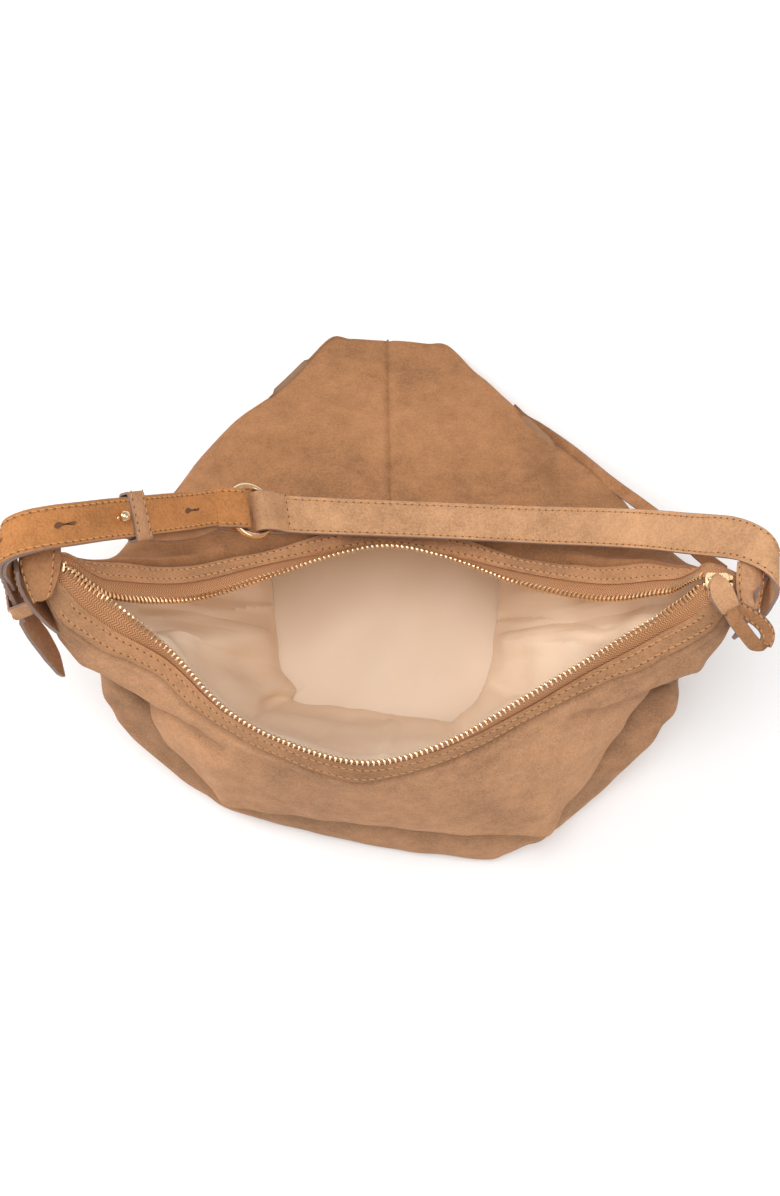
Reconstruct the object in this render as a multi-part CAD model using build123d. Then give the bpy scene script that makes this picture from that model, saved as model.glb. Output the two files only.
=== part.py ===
from build123d import *
import math
import os

os.makedirs("parts", exist_ok=True)

# Hobo bag resting on its base with the zip mouth open, in millimetres.
# +X runs along the zip towards the slider, +Y to the back, +Z up.

LEATHER = 1.5            # body suede thickness
LINING = 0.8             # lining cloth thickness
TAPE = 0.8               # zip tape thickness
TEETH_WIDTH = 2.6        # one row of teeth, across
TEETH_HEIGHT = 2.4       # one row of teeth, through the tape
STRAP_WIDTH = 22.0
LAYER = 2.1              # one strap layer
EAR_Y = 0.0              # swing axis of the strap, through both ears
EAR_Z = 199.0
EAR_RADIUS = 11.0
RING_RADIUS = 13.9       # to the middle of the wire
WIRE_RADIUS = 1.9
PER_STEP = 3             # columns between two control points of a body ring
SHIFT = Vector(1.748, -27.185, 0)   # bag frame to the part's centred frame

# Body rings, right ear first, then round by the back, left ear and front.
FLOOR = [
    (142, 0, 0), (134, 34, 0), (116, 68, 0), (80, 108, 0), (24, 164, 0),
    (-10, 168, 0), (-42, 166, 0), (-78, 112, 0), (-110, 66, 0), (-128, 30, 0),
    (-138, -4, 0), (-138, -46, 0), (-118, -74, 0), (-80, -98, 0), (-40, -108, 0),
    (4, -112, 0), (46, -117, 0), (86, -112, 0), (124, -84, 0), (146, -46, 0),
]
BULGE = [
    (153, -2, 30), (142, 36, 30), (122, 72, 26), (84, 113, 18), (23, 172, 5),
    (-10, 175, 5), (-42, 174, 5), (-82, 117, 18), (-116, 71, 26), (-138, 32, 30),
    (-150, -6, 34), (-152, -52, 46), (-128, -80, 28), (-88, -105, 18), (-44, -115, 16),
    (4, -120, 16), (50, -128, 15), (90, -120, 18), (134, -92, 26), (161, -52, 44),
]
FOLD = [
    (162, -2, 95), (150, 34, 100), (126, 72, 82), (84, 115, 48), (21, 176, 10),
    (-10, 178, 10), (-40, 178, 10), (-82, 120, 42), (-118, 68, 74), (-146, 22, 105),
    (-157, -4, 100), (-152, -43, 102), (-120, -74, 72), (-77, -109, 56), (-36, -113, 58),
    (6, -116, 60), (48, -119, 58), (91, -121, 56), (128, -80, 76), (163, -41, 106),
]
SEAM = [
    (178, 0, 194), (150, 14, 166), (116, 20, 130), (75, 29, 100), (38, 42, 90),
    (1, 48, 86), (-32, 42, 90), (-68, 28, 101), (-110, 13, 128), (-147, 5, 170),
    (-176, -2, 194), (-146, -36, 171), (-116, -50, 156), (-83, -73, 145), (-49, -89, 140),
    (-5.5, -98, 137), (38, -85, 140), (76, -64, 146), (110, -46, 154), (148, -28, 169),
]
FACING = [
    (172, 0, 204.2), (146, 7, 172), (113, 10, 134), (72, 20, 106), (36, 31, 89),
    (1, 36, 85), (-30, 31, 89), (-65, 20, 104), (-106, 3, 133), (-143, -4, 177),
    (-169, -1, 204), (-142, -26, 178), (-110, -42, 163), (-80, -68, 155), (-46, -85, 150.5),
    (-5.5, -93, 148.5), (35, -82, 150), (70, -61, 154), (101, -42, 160), (139, -21, 175),
]
TEETH = [
    (169, 0, 204.5), (143, 0, 176), (111, 0.5, 142), (71, 12, 115), (36, 27, 100),
    (1, 34, 97), (-30, 27, 100.5), (-63, 12, 112), (-102, -7, 140), (-139, -12.5, 180.5),
    (-163, -2, 205), (-139, -15.7, 181.5), (-107, -38.6, 174), (-79, -66, 167), (-46, -82, 162),
    (-5.5, -90, 160), (34, -78, 161), (68, -57, 165), (98, -38, 170), (136, -14, 182),
]
LINING_FLOOR = [
    (62, 0, 5), (62, 20, 5), (62, 40, 5), (62, 64, 5), (40, 84, 5),
    (0, 86, 5), (-40, 84, 5), (-63, 64, 5), (-63, 40, 5), (-63, 20, 5),
    (-62, 0, 5), (-59, -22, 5), (-57, -40, 5), (-54, -54, 5), (-30, -57, 5),
    (0, -59, 5), (30, -61, 5), (46, -62, 5), (54, -48, 5), (60, -26, 5),
]

# Columns beside the ears, where the rings turn tightly.
TEETH_NEAR_EAR = {
    1: (154, 2.2, 204.5), 2: (149, 2.0, 192), 59: (154, -2.2, 204.5), 58: (147, -7, 194),
    28: (-147, -8, 188.5), 29: (-155, -2.6, 197), 31: (-155, -6.2, 197.5), 32: (-147, -11.6, 189),
}
FACING_NEAR_EAR = {
    1: (158, 9, 202.5), 2: (152, 8, 187), 59: (158, -10, 202.5), 58: (150, -16, 188),
    29: (-158, 4, 196), 28: (-151, 0, 187), 31: (-158, -13, 195), 32: (-150, -21, 187),
}
SEAM_NEAR_EAR = {
    1: (168, 10, 187), 2: (159, 13, 177), 59: (168, -12, 188), 58: (158, -21, 179),
    29: (-168, 6, 187), 28: (-158, 6, 178), 31: (-168, -15, 186), 32: (-158, -28, 178),
}

LINING_NEAR_EAR = {
    0: (168, 0, 197), 1: (157, 6, 194), 59: (157, -7, 194),
    30: (-166, -2, 197), 29: (-157, 2, 190), 31: (-157, -10, 189),
}


def ring(control, near_ear=None):
    """Closed Catmull-Rom curve through the control points."""
    count = len(control)
    points = []
    for index in range(count):
        quad = [Vector(*control[(index + step) % count]) for step in (-1, 0, 1, 2)]
        for part in range(PER_STEP):
            t = part / PER_STEP
            weights = (
                -t ** 3 + 2 * t ** 2 - t,
                3 * t ** 3 - 5 * t ** 2 + 2,
                -3 * t ** 3 + 4 * t ** 2 + t,
                t ** 3 - t ** 2,
            )
            total = Vector(0, 0, 0)
            for point, weight in zip(quad, weights):
                total = total + point * (weight / 2)
            points.append(total)
    for column, place in (near_ear or {}).items():
        points[column] = Vector(*place)
    return points


def mix(first, second, t):
    return first * (1 - t) + second * t


def between(lower, upper, t, bulge):
    """A ring between two others, pushed sideways out of the bag."""
    points = []
    for a, b in zip(lower, upper):
        middle = mix(a, b, t)
        flat = Vector(middle.X, middle.Y, 0)
        points.append(middle + flat.normalized() * bulge)
    return points


def inner_rings(rings, thickness):
    """The same rings moved into the bag by the thickness, square to the sheet."""
    count = len(rings[0])
    moved = []
    for level, points in enumerate(rings):
        above = rings[min(level + 1, len(rings) - 1)]
        below = rings[max(level - 1, 0)]
        row = []
        for column in range(count):
            along = points[(column + 1) % count] - points[column - 1]
            upward = above[column] - below[column]
            inward = upward.cross(along).normalized()
            row.append(points[column] + inward * thickness)
        moved.append(row)
    return moved


def solid_of(triangles):
    """Closed solid from triangles given as three points each."""
    volume = sum(a.dot(b.cross(c)) for a, b, c in triangles)
    faces = []
    for corners in triangles:
        area = (corners[1] - corners[0]).cross(corners[2] - corners[0]).length
        if area > 1e-6:
            ordered = corners if volume > 0 else tuple(reversed(corners))
            faces.append(Face(Wire.make_polygon(ordered, close=True)))
    return Solid(Shell(faces))


def quad(a, b, c, d):
    return [(a, b, c), (a, c, d)]


def sheet_solid(outer, inner, cells):
    """Thick sheet from the chosen (level, column) cells of two ring stacks."""
    count = len(outer[0])
    chosen = {(level, column % count) for level, column in cells}
    triangles = []
    for level, column in sorted(chosen):
        nxt = (column + 1) % count
        corners = [(level, column), (level, nxt), (level + 1, nxt), (level + 1, column)]
        outside = [outer[i][j] for i, j in corners]
        inside = [inner[i][j] for i, j in corners]
        triangles += quad(*outside)
        triangles += [tuple(reversed(t)) for t in quad(*inside)]
        sides = [
            ((level - 1, column), 0, 1),
            ((level, nxt), 1, 2),
            ((level + 1, column), 2, 3),
            ((level, (column - 1) % count), 3, 0),
        ]
        for neighbour, i, j in sides:
            if neighbour in chosen:
                continue
            a, b = outside[i], outside[j]
            c, d = inside[j], inside[i]
            if corners[i] < corners[j]:
                triangles += [(b, a, d), (b, d, c)]
            else:
                triangles += [(b, a, c), (a, d, c)]
    return solid_of(triangles)


def floor_solid(lower, upper):
    """Flat plate between two matching closed rings."""
    count = len(lower)
    bottom = sum(lower, Vector(0, 0, 0)) * (1 / count)
    top = sum(upper, Vector(0, 0, 0)) * (1 / count)
    triangles = []
    for i in range(count):
        j = (i + 1) % count
        triangles.append((bottom, lower[j], lower[i]))
        triangles.append((top, upper[i], upper[j]))
        triangles += [(lower[i], lower[j], upper[j]), (lower[i], upper[j], upper[i])]
    return solid_of(triangles)


def tube_solid(sections):
    """Closed solid through matching four-cornered sections."""
    triangles = [tuple(reversed(t)) for t in quad(*sections[0])] + quad(*sections[-1])
    for first, second in zip(sections, sections[1:]):
        for i in range(4):
            j = (i + 1) % 4
            triangles += quad(first[i], first[j], second[j], second[i])
    return solid_of(triangles)


def frames(path, tilts):
    """Tangent, width and outward directions at each point of a strap path."""
    result = []
    for i, point in enumerate(path):
        before = path[max(i - 1, 0)]
        after = path[min(i + 1, len(path) - 1)]
        tangent = (after - before).normalized()
        angle = math.radians(tilts[i])
        wide = Vector(0, math.cos(angle), -math.sin(angle))
        result.append((point, tangent, wide, tangent.cross(wide).normalized()))
    return result


def ribbon(stations, width, low, high):
    """Strap layer between two offsets from its path."""
    sections = []
    for point, tangent, wide, out in stations:
        half = wide * (width / 2)
        sections.append([
            point - half + out * low,
            point + half + out * low,
            point + half + out * high,
            point - half + out * high,
        ])
    return tube_solid(sections)


def plane_at(station):
    point, tangent, wide, out = station
    return Plane(origin=point, x_dir=tangent, z_dir=out)


def ear_disc(inner_x, outer_x):
    """Round strap end on the ear axis."""
    middle = (inner_x + outer_x) / 2
    disc = Cylinder(EAR_RADIUS, abs(outer_x - inner_x))
    return Pos(middle, EAR_Y, EAR_Z) * Rot(0, 90, 0) * disc


def save(shape, name):
    solids = shape.solids() if not isinstance(shape, Solid) else [shape]
    body = solids[0] if len(solids) == 1 else Compound(children=list(solids))
    export_step(body.moved(Location(SHIFT)), f"parts/{name}.step")


# ---- body skin ----
floor_ring = ring(FLOOR)
fold_ring = ring(FOLD)
seam_ring = ring(SEAM, SEAM_NEAR_EAR)
facing_ring = ring(FACING, FACING_NEAR_EAR)
teeth_ring = ring(TEETH, TEETH_NEAR_EAR)
skin = [
    floor_ring,
    ring(BULGE),
    fold_ring,
    between(fold_ring, seam_ring, 0.5, 4),
    seam_ring,
    facing_ring,
]
skin_inner = inner_rings(skin, LEATHER)
for column, point in enumerate(skin_inner[0]):
    skin_inner[0][column] = Vector(point.X, point.Y, LEATHER)


def cells(levels, start, end):
    return [(level, column) for level in levels for column in range(start, end)]


back_right = cells((0, 1), 3, 15) + cells((2, 3), 0, 15)
back_left = cells((0, 1), 15, 27) + cells((2, 3), 15, 30)
front = cells((0, 1), 36, 54) + cells((2, 3), 30, 60)
save(sheet_solid(skin, skin_inner, back_right), "back_panel_right")
save(sheet_solid(skin, skin_inner, back_left), "back_panel_left")
save(sheet_solid(skin, skin_inner, front), "front_panel")
save(sheet_solid(skin, skin_inner, cells((0, 1), 27, 36)), "gusset_left")
save(sheet_solid(skin, skin_inner, cells((0, 1), 54, 63)), "gusset_right")
save(sheet_solid(skin, skin_inner, cells((4,), 0, 30)), "back_facing")
save(sheet_solid(skin, skin_inner, cells((4,), 30, 60)), "front_facing")
save(floor_solid(skin[0], skin_inner[0]), "base_panel")
base_board = Pos(0, 4, 2.9) * extrude(RectangleRounded(116, 118, 10), amount=1, both=True)
save(base_board, "base_board")

# ---- lining bag ----
lining_top = inner_rings(skin, LEATHER + 0.4)[5]
for column, place in LINING_NEAR_EAR.items():
    lining_top[column] = Vector(*place)
lining_floor = ring(LINING_FLOOR)
lining = [lining_floor, between(lining_floor, lining_top, 0.5, 6), lining_top]
lining_inner = inner_rings(lining, LINING)
for column, point in enumerate(lining_inner[0]):
    lining_inner[0][column] = Vector(point.X, point.Y, 5 + LINING)
for name, start, end in (
    ("lining_back", 6, 24),
    ("lining_left", 24, 36),
    ("lining_front", 36, 54),
    ("lining_right", 54, 66),
):
    save(sheet_solid(lining, lining_inner, cells((0, 1), start, end)), name)
save(floor_solid(lining[0], lining_inner[0]), "lining_floor")

# ---- zip tapes, teeth and stops ----
tape_edge = []
for base, tooth in zip(facing_ring, teeth_ring):
    towards = (tooth - base).normalized()
    tape_edge.append(tooth - towards * (TEETH_WIDTH / 2))
tape = [facing_ring, tape_edge]
tape_inner = inner_rings(tape, TAPE)
save(sheet_solid(tape, tape_inner, cells((0,), 0, 30)), "zip_tape_back")
save(sheet_solid(tape, tape_inner, cells((0,), 30, 60)), "zip_tape_front")


def teeth_row(columns, side):
    """One row of teeth, from inside the slider to the left end."""
    sections = []
    places = [Vector(167, side * 1.6, 204.5)] + [teeth_ring[column] for column in columns]
    for i, middle in enumerate(places):
        before = places[max(i - 1, 0)]
        after = places[min(i + 1, len(places) - 1)]
        along = (after - before).normalized()
        across = Vector(0, -side, 0)
        if 2 <= i < len(places) - 4:
            across = (middle - facing_ring[columns[i - 1]]).normalized()
        across = (across - along * across.dot(along)).normalized()
        through = along.cross(across)
        a = across * (TEETH_WIDTH / 2)
        t = through * (TEETH_HEIGHT / 2)
        sections.append([middle - a - t, middle + a - t, middle + a + t, middle - a + t])
    return tube_solid(sections)


save(teeth_row(list(range(1, 30)), 1), "zip_teeth_back")
save(teeth_row(list(range(59, 30, -1)), -1), "zip_teeth_front")
stop_left = Pos(-158.6, -3.8, 202.4) * Rot(0, 45, 0) * Box(3, 7, 3)
save(stop_left, "zip_stop_left")
stops = [Pos(167.2, y, 206.6) * Box(2.4, 2.2, 1.6) for y in (-1.8, 1.8)]
save(Compound(children=stops), "zip_stops_right")

# ---- slider on the zip ----
SLIDER = Vector(160, 0, 204.5)
slider = Pos(0, 0, 2.5) * Box(9.6, 8.6, 1.3)
slider += Pos(-0.8, 0, -2.5) * Box(8.0, 7.2, 1.3)
for side in (-1, 1):
    slider += Pos(0, side * 4.0, 2.0) * Box(7.6, 0.8, 1.6)
slider += Pos(-3.9, 0, 0) * Box(1.4, 0.8, 4.0)
bail = Pos(-3.2, 0, 4.725) * Box(1.5, 2.4, 3.15) + Pos(3.2, 0, 4.725) * Box(1.5, 2.4, 3.15)
bail += Pos(0, 0, 6.9) * Rot(0, 90, 0) * Cylinder(0.95, 7.9)
save(Location(SLIDER) * slider, "slider_body")
save(Location(SLIDER) * bail, "slider_bail")

# ---- leather pull: a tab folded round the bail and a loop below it ----
PULL_AXIS_Z = SLIDER.Z + 6.9
hub = Pos(SLIDER.X, 0, PULL_AXIS_Z) * Rot(0, 90, 0) * (Cylinder(3.0, 4.4) - Cylinder(1.35, 6))
tab_path = [Vector(160, -1.6, 213.3), Vector(162, -7, 213.6), Vector(166, -13, 210.6)]
pull_width = Vector(0.83, 0.5, 0.1).normalized()


def strand(path, width, low, high, wide):
    stations = []
    for i, point in enumerate(path):
        before = path[max(i - 1, 0)]
        after = path[min(i + 1, len(path) - 1)]
        tangent = (after - before).normalized()
        side = (wide - tangent * wide.dot(tangent)).normalized()
        stations.append((point, tangent, side, side.cross(tangent)))
    return ribbon(stations, width, low, high)


tab_strap = strand(tab_path, 6.5, -1.2, 1.2, pull_width)
bore = Pos(SLIDER.X, 0, PULL_AXIS_Z) * Rot(0, 90, 0) * Cylinder(1.35, 12)
save((hub + tab_strap) - bore, "pull_tab")
loop_front = [
    Vector(165, -13, 207.9), Vector(170, -19, 204.5), Vector(175.5, -23.5, 199),
    Vector(180, -26.5, 192), Vector(183, -27.5, 186.5),
]
loop_back = [
    Vector(183, -27.5, 186.5), Vector(184, -22.5, 187.5), Vector(182, -18, 194),
    Vector(176, -14, 200.5), Vector(167, -11.5, 206.2),
]
pull_loop = strand(loop_front, 6.0, -0.9, 0.9, pull_width)
pull_loop += strand(loop_back, 6.0, -0.9, 0.9, pull_width)
save(pull_loop, "pull_loop")

# ---- strap, swinging about the ear axis ----
left_path = [Vector(*p) for p in (
    (-186.3, 0, 199), (-186.3, 0, 210.4), (-186.0, 1.8, 214), (-184.8, 3.8, 218),
    (-181.6, 5.8, 221.2), (-175.5, 8.2, 223), (-168.5, 10.4, 222.4), (-160.5, 13.1, 218.6),
    (-151, 16.4, 211.4), (-143, 19.6, 203.9), (-136, 22.6, 195.8),
    (-103, 38.2, 148.8), (-92.1, 43.1, 135.7),
)]
left_tilts = [0, 0, 0, 1, 2, 3, 4, 5, 7, 8, 9, 12, 13]
ring_middle = Vector(-74, 45.5, 120)
ring_tangent = Vector(0.75, 0.1, -0.65).normalized()
right_path = [Vector(*p) for p in (
    (-55.9, 47.9, 104.3), (-45, 48.6, 99.6), (-28, 48.9, 97.4), (5, 49, 96.6),
    (38, 47.8, 101), (62, 45.8, 109), (85, 43, 121), (110, 39, 140), (133, 34, 161.5),
    (150, 28.6, 181), (161, 24.8, 195.5), (170, 21.6, 206), (178, 17.4, 212),
    (184.0, 13, 214.4), (188.2, 8, 212.8), (189.4, 3.6, 208.2), (187.4, 0.6, 203.5),
    (187.2, 0, 199),
)]
left_path[-1] = ring_middle - ring_tangent * 24.2
right_path[0] = ring_middle + ring_tangent * 24.2
right_tilts = [13, 13, 14, 15, 15, 14, 13, 12, 10, 8, 6, 5, 4, 3, 2, 1, 0, 0]
left_stations = frames(left_path, left_tilts)
right_stations = frames(right_path, right_tilts)
wide_at_ring = Vector(0, math.cos(math.radians(13)), -math.sin(math.radians(13)))
wide_at_ring = (wide_at_ring - ring_tangent * wide_at_ring.dot(ring_tangent)).normalized()
out_at_ring = ring_tangent.cross(wide_at_ring)
ring_plane = Plane(origin=ring_middle, x_dir=ring_tangent, z_dir=out_at_ring)
left_stations[-1] = (left_path[-1], ring_tangent, wide_at_ring, out_at_ring)
right_stations[0] = (right_path[0], ring_tangent, wide_at_ring, out_at_ring)
for flat in (0, 1):
    left_stations[flat] = (left_path[flat], Vector(0, 0, 1), Vector(0, 1, 0), Vector(-1, 0, 0))
right_stations[-1] = (right_path[-1], Vector(0, 0, -1), Vector(0, 1, 0), Vector(1, 0, 0))


def ring_fold(side):
    """Strap folded round one side of the ring, in the ring's own plane frame."""
    profile_plane = Plane(origin=(0, 0, 0), x_dir=(1, 0, 0), z_dir=(0, -1, 0))
    pieces = []
    for reach, half in ((24.2, 4.4), (20.0, 2.35)):
        tip = 2.1 if half > 3 else 0.0
        points = [(-reach, -tip), (-14.2, -half), (-6.9, -half)]
        points += [
            (-6.9 + half * math.sin(math.radians(a)), -half * math.cos(math.radians(a)))
            for a in range(15, 180, 15)
        ]
        points += [(-6.9, half), (-14.2, half)]
        points += [(-reach, tip)] if tip else []
        outline = Polyline([(x * side, z) for x, z in points], close=True)
        face = make_face(profile_plane * outline)
        pieces.append(extrude(face, amount=STRAP_WIDTH / 2, both=True))
    return ring_plane.location * (pieces[0] - pieces[1])


keeper_at = left_path[10] + (left_path[11] - left_path[10]).normalized() * 15
stud_at = left_path[10] + (left_path[11] - left_path[10]).normalized() * 5
straight = (left_path[11] - left_path[10]).normalized()
straight_wide = Vector(0, math.cos(math.radians(10)), -math.sin(math.radians(10)))
straight_wide = (straight_wide - straight * straight_wide.dot(straight)).normalized()
straight_out = straight.cross(straight_wide)
for index in (10, 11):
    left_stations[index] = (left_path[index], straight, straight_wide, straight_out)
stud_plane = Plane(origin=stud_at, x_dir=straight, z_dir=straight_out)
keeper_plane = Plane(origin=keeper_at, x_dir=straight, z_dir=straight_out)

base_layer = ribbon(left_stations, STRAP_WIDTH, -LAYER, -0.15)
base_layer += ear_disc(-186.15, -184.2)
base_layer -= stud_plane.location * Cylinder(1.5, 12)
save(base_layer, "strap_left_base")
adjuster = ribbon(left_stations, STRAP_WIDTH, 0.15, LAYER)
adjuster += ear_disc(-188.4, -186.45)
keyhole_stations = [
    (stud_plane, 0),
    (Plane(origin=left_path[10] + straight * 43, x_dir=straight, z_dir=straight_out), 0),
    (plane_at(left_stations[7]), 0),
]
for plane, offset in keyhole_stations:
    slot = Pos(offset, 0, 1.5) * Cylinder(1.9, 5) + Pos(offset - 4, 0, 1.5) * Box(7, 1.0, 5)
    adjuster -= plane.location * slot
save(adjuster, "strap_left_adjuster")
save(ring_fold(1), "strap_left_fold")
right_half = ribbon(right_stations, STRAP_WIDTH, -1.1, LAYER - 1.1)
right_half += ear_disc(187.2 - 1.1, 187.2 + 1.0)
save(right_half, "strap_right")
save(ring_fold(-1), "strap_right_fold")
strap_ring = ring_plane.location * Torus(RING_RADIUS, WIRE_RADIUS)
save(strap_ring, "strap_ring")
stud = Pos(0, 0, 1.6) * Cylinder(1.2, 7.4) + Pos(0, 0, 5.9) * Sphere(2.9)
save(stud_plane.location * stud, "stud")
save(stud_plane.location * (Pos(0, 0, -2.75) * Cylinder(3.4, 1.3)), "stud_screw")
keeper = Box(11.5, 26.2, 8.4) - Box(13, 23.0, 5.2)
save(keeper_plane.location * keeper, "sliding_keeper")

# ---- ears: patches over the zip ends, sewn strap ends and the held tail ----
for name, side, first in (("ear_patch_left", -1, 164.6), ("ear_patch_right", 1, 171.5)):
    top = Pos(side * (first + 181) / 2, -2, 207.4) * Box(181 - first, 14, 1.5)
    end = Pos(side * 180.3, -2, 203.2) * Box(1.4, 14, 7.5)
    save(top + end, name)
anchor_left_path = [Vector(*p) for p in (
    (-182.5, 0, 199), (-182.5, -6, 192), (-181.5, -13, 180), (-177.5, -21, 167),
    (-171.5, -28, 155), (-167.5, -32, 147),
)]
held_path = [Vector(*p) for p in (
    (-190.2, 0, 199), (-189.4, -6, 190), (-186.0, -13.6, 179.4), (-183.6, -17.4, 173),
)]
tail_path = [Vector(*p) for p in (
    (-183.6, -19.9, 168.9), (-180.4, -26, 157), (-174.5, -34, 142), (-170.2, -41, 128),
    (-168.7, -46, 117),
)]


def sewn_end(path, low, high, widths, side):
    sections = []
    for i, point in enumerate(path):
        before = path[max(i - 1, 0)]
        after = path[min(i + 1, len(path) - 1)]
        tangent = (after - before).normalized()
        out = Vector(side, -0.25, 0.1)
        out = (out - tangent * out.dot(tangent)).normalized()
        half = tangent.cross(out) * (widths[i] / 2)
        sections.append([
            point - half + out * low, point + half + out * low,
            point + half + out * high, point - half + out * high,
        ])
    return tube_solid(sections)


anchor_left = sewn_end(anchor_left_path, -1.0, 1.0, [20, 20, 20, 20, 20, 18], -1)
anchor_left += ear_disc(-183.8, -181.8)
anchor_left = anchor_left - Pos(-183.8 - 5, 0, EAR_Z) * Box(10, 60, 24)
save(anchor_left, "strap_anchor_left")
anchor_right_path = [Vector(*p) for p in (
    (184.6, 0, 199), (184.4, -5, 190), (182.4, -11, 178), (179, -17, 167),
    (176, -21, 159),
)]
anchor_right = sewn_end(anchor_right_path, -1.0, 1.0, [20, 20, 20, 20, 18], 1)
anchor_right += ear_disc(183.7, 185.7)
anchor_right = anchor_right - Pos(185.7 + 5, 0, EAR_Z) * Box(10, 60, 24)
save(anchor_right, "strap_anchor_right")
held = sewn_end(held_path, -1.0, 1.0, [19, 19.5, 20, 20], -1)
held += ear_disc(-191.2, -189.2)
held = held - Pos(-189.2 + 5, 0, EAR_Z) * Box(10, 60, 24)
save(held, "adjuster_held")
tail = sewn_end(tail_path, -1.0, 1.0, [20, 20, 20, 14, 1.5], -1)
save(tail, "adjuster_tail")
keeper_tangent = (held_path[3] - held_path[2]).normalized()
keeper_out = Vector(-1, -0.25, 0.1)
keeper_out = (keeper_out - keeper_tangent * keeper_out.dot(keeper_tangent)).normalized()
keeper_middle = Vector(-183.9, -13.9, 177.6)
fixed_plane = Plane(origin=keeper_middle, x_dir=keeper_tangent, z_dir=keeper_out)
fixed_keeper = fixed_plane.location * (Box(9, 26, 11.6) - Box(10, 22.8, 8.8))
save(fixed_keeper, "fixed_keeper")

# ---- narrow tie strap behind the right side ----
tie_path = [Vector(*p) for p in (
    (76, 132, 8), (94, 121, 16), (112, 104, 40), (132, 81, 68), (147, 60, 96),
    (158, 36, 136), (165, 20, 166), (172, 10, 184),
)]
save(strand(tie_path, 11.0, -0.8, 0.8, Vector(0.75, 0.6, 0.25)), "tie_strap")
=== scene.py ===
import math

import bmesh
import bpy
import numpy as np
from mathutils import Matrix, Vector


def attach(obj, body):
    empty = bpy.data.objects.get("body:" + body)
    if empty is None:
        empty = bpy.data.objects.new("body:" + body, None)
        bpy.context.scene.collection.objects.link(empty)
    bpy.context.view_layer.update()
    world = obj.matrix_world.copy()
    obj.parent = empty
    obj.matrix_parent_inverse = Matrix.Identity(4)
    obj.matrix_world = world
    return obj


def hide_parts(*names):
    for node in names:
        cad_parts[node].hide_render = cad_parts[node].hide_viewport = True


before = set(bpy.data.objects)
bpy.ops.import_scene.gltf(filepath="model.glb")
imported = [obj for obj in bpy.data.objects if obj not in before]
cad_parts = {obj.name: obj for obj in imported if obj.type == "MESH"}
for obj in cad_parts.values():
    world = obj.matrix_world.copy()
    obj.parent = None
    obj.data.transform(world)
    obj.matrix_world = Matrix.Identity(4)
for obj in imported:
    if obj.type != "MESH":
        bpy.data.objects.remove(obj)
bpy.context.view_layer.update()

# Points below are in the bag maker's millimetres; at() turns them into the frame's metres.
SHIFT = np.array([1.748, -27.185, 0.0])
MM = 0.001


def at(points):
    return (np.asarray(points, float) + SHIFT) * MM


def unit(v):
    v = np.asarray(v, float)
    return v / np.maximum(np.linalg.norm(v, axis=-1, keepdims=True), 1e-9)


# ---------------------------------------------------------------- camera
ELEVATION = math.radians(80)
ROLL = math.radians(2.0)
LENS = 61.676            # millimetres, for a frame 36 mm high
FRAME_HEIGHT = 36.0
DISTANCE = 1000.0
ASIDE, ABOVE = 1.22, -13.67   # eye beside the line to the middle of the mouth
MOUTH_HEIGHT = 205.0
look = np.array([0, math.cos(ELEVATION), -math.sin(ELEVATION)])
up0 = np.array([0, math.sin(ELEVATION), math.cos(ELEVATION)])
right = math.cos(ROLL) * np.array([1.0, 0, 0]) + math.sin(ROLL) * up0
up = -math.sin(ROLL) * np.array([1.0, 0, 0]) + math.cos(ROLL) * up0
eye = np.array([0, 0, MOUTH_HEIGHT]) - DISTANCE * look + ASIDE * right + ABOVE * up
camera = bpy.data.objects.new("camera", bpy.data.cameras.new("camera"))
bpy.context.scene.collection.objects.link(camera)
camera.matrix_world = Matrix([
    [right[0], up[0], -look[0], at(eye)[0]],
    [right[1], up[1], -look[1], at(eye)[1]],
    [right[2], up[2], -look[2], at(eye)[2]],
    [0, 0, 0, 1],
])
camera.data.sensor_fit = "VERTICAL"
camera.data.sensor_height = FRAME_HEIGHT
camera.data.lens = LENS
camera.data.clip_end = 20
bpy.context.scene.camera = camera


# ---------------------------------------------------------------- shader helpers
class S:
    """A shader socket that takes part in Python expressions."""

    def __init__(self, tree, socket):
        self.tree, self.socket = tree, socket

    def _math(self, operation, *values):
        node = self.tree.nodes.new("ShaderNodeMath")
        node.operation = operation
        for slot, value in zip(node.inputs, values):
            put(self.tree, slot, value)
        return S(self.tree, node.outputs[0])

    def __add__(self, other):
        return self._math("ADD", self, other)

    def __radd__(self, other):
        return self._math("ADD", other, self)

    def __sub__(self, other):
        return self._math("SUBTRACT", self, other)

    def __rsub__(self, other):
        return self._math("SUBTRACT", other, self)

    def __mul__(self, other):
        return self._math("MULTIPLY", self, other)

    def __rmul__(self, other):
        return self._math("MULTIPLY", other, self)

    def __truediv__(self, other):
        return self._math("DIVIDE", self, other)

    def sin(self):
        return self._math("SINE", self)

    def floor(self):
        return self._math("FLOOR", self)

    def mod(self, other):
        return self._math("FLOORED_MODULO", self, other)



def put(tree, slot, value):
    if isinstance(value, S):
        tree.links.new(value.socket, slot)
    else:
        slot.default_value = value


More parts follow.
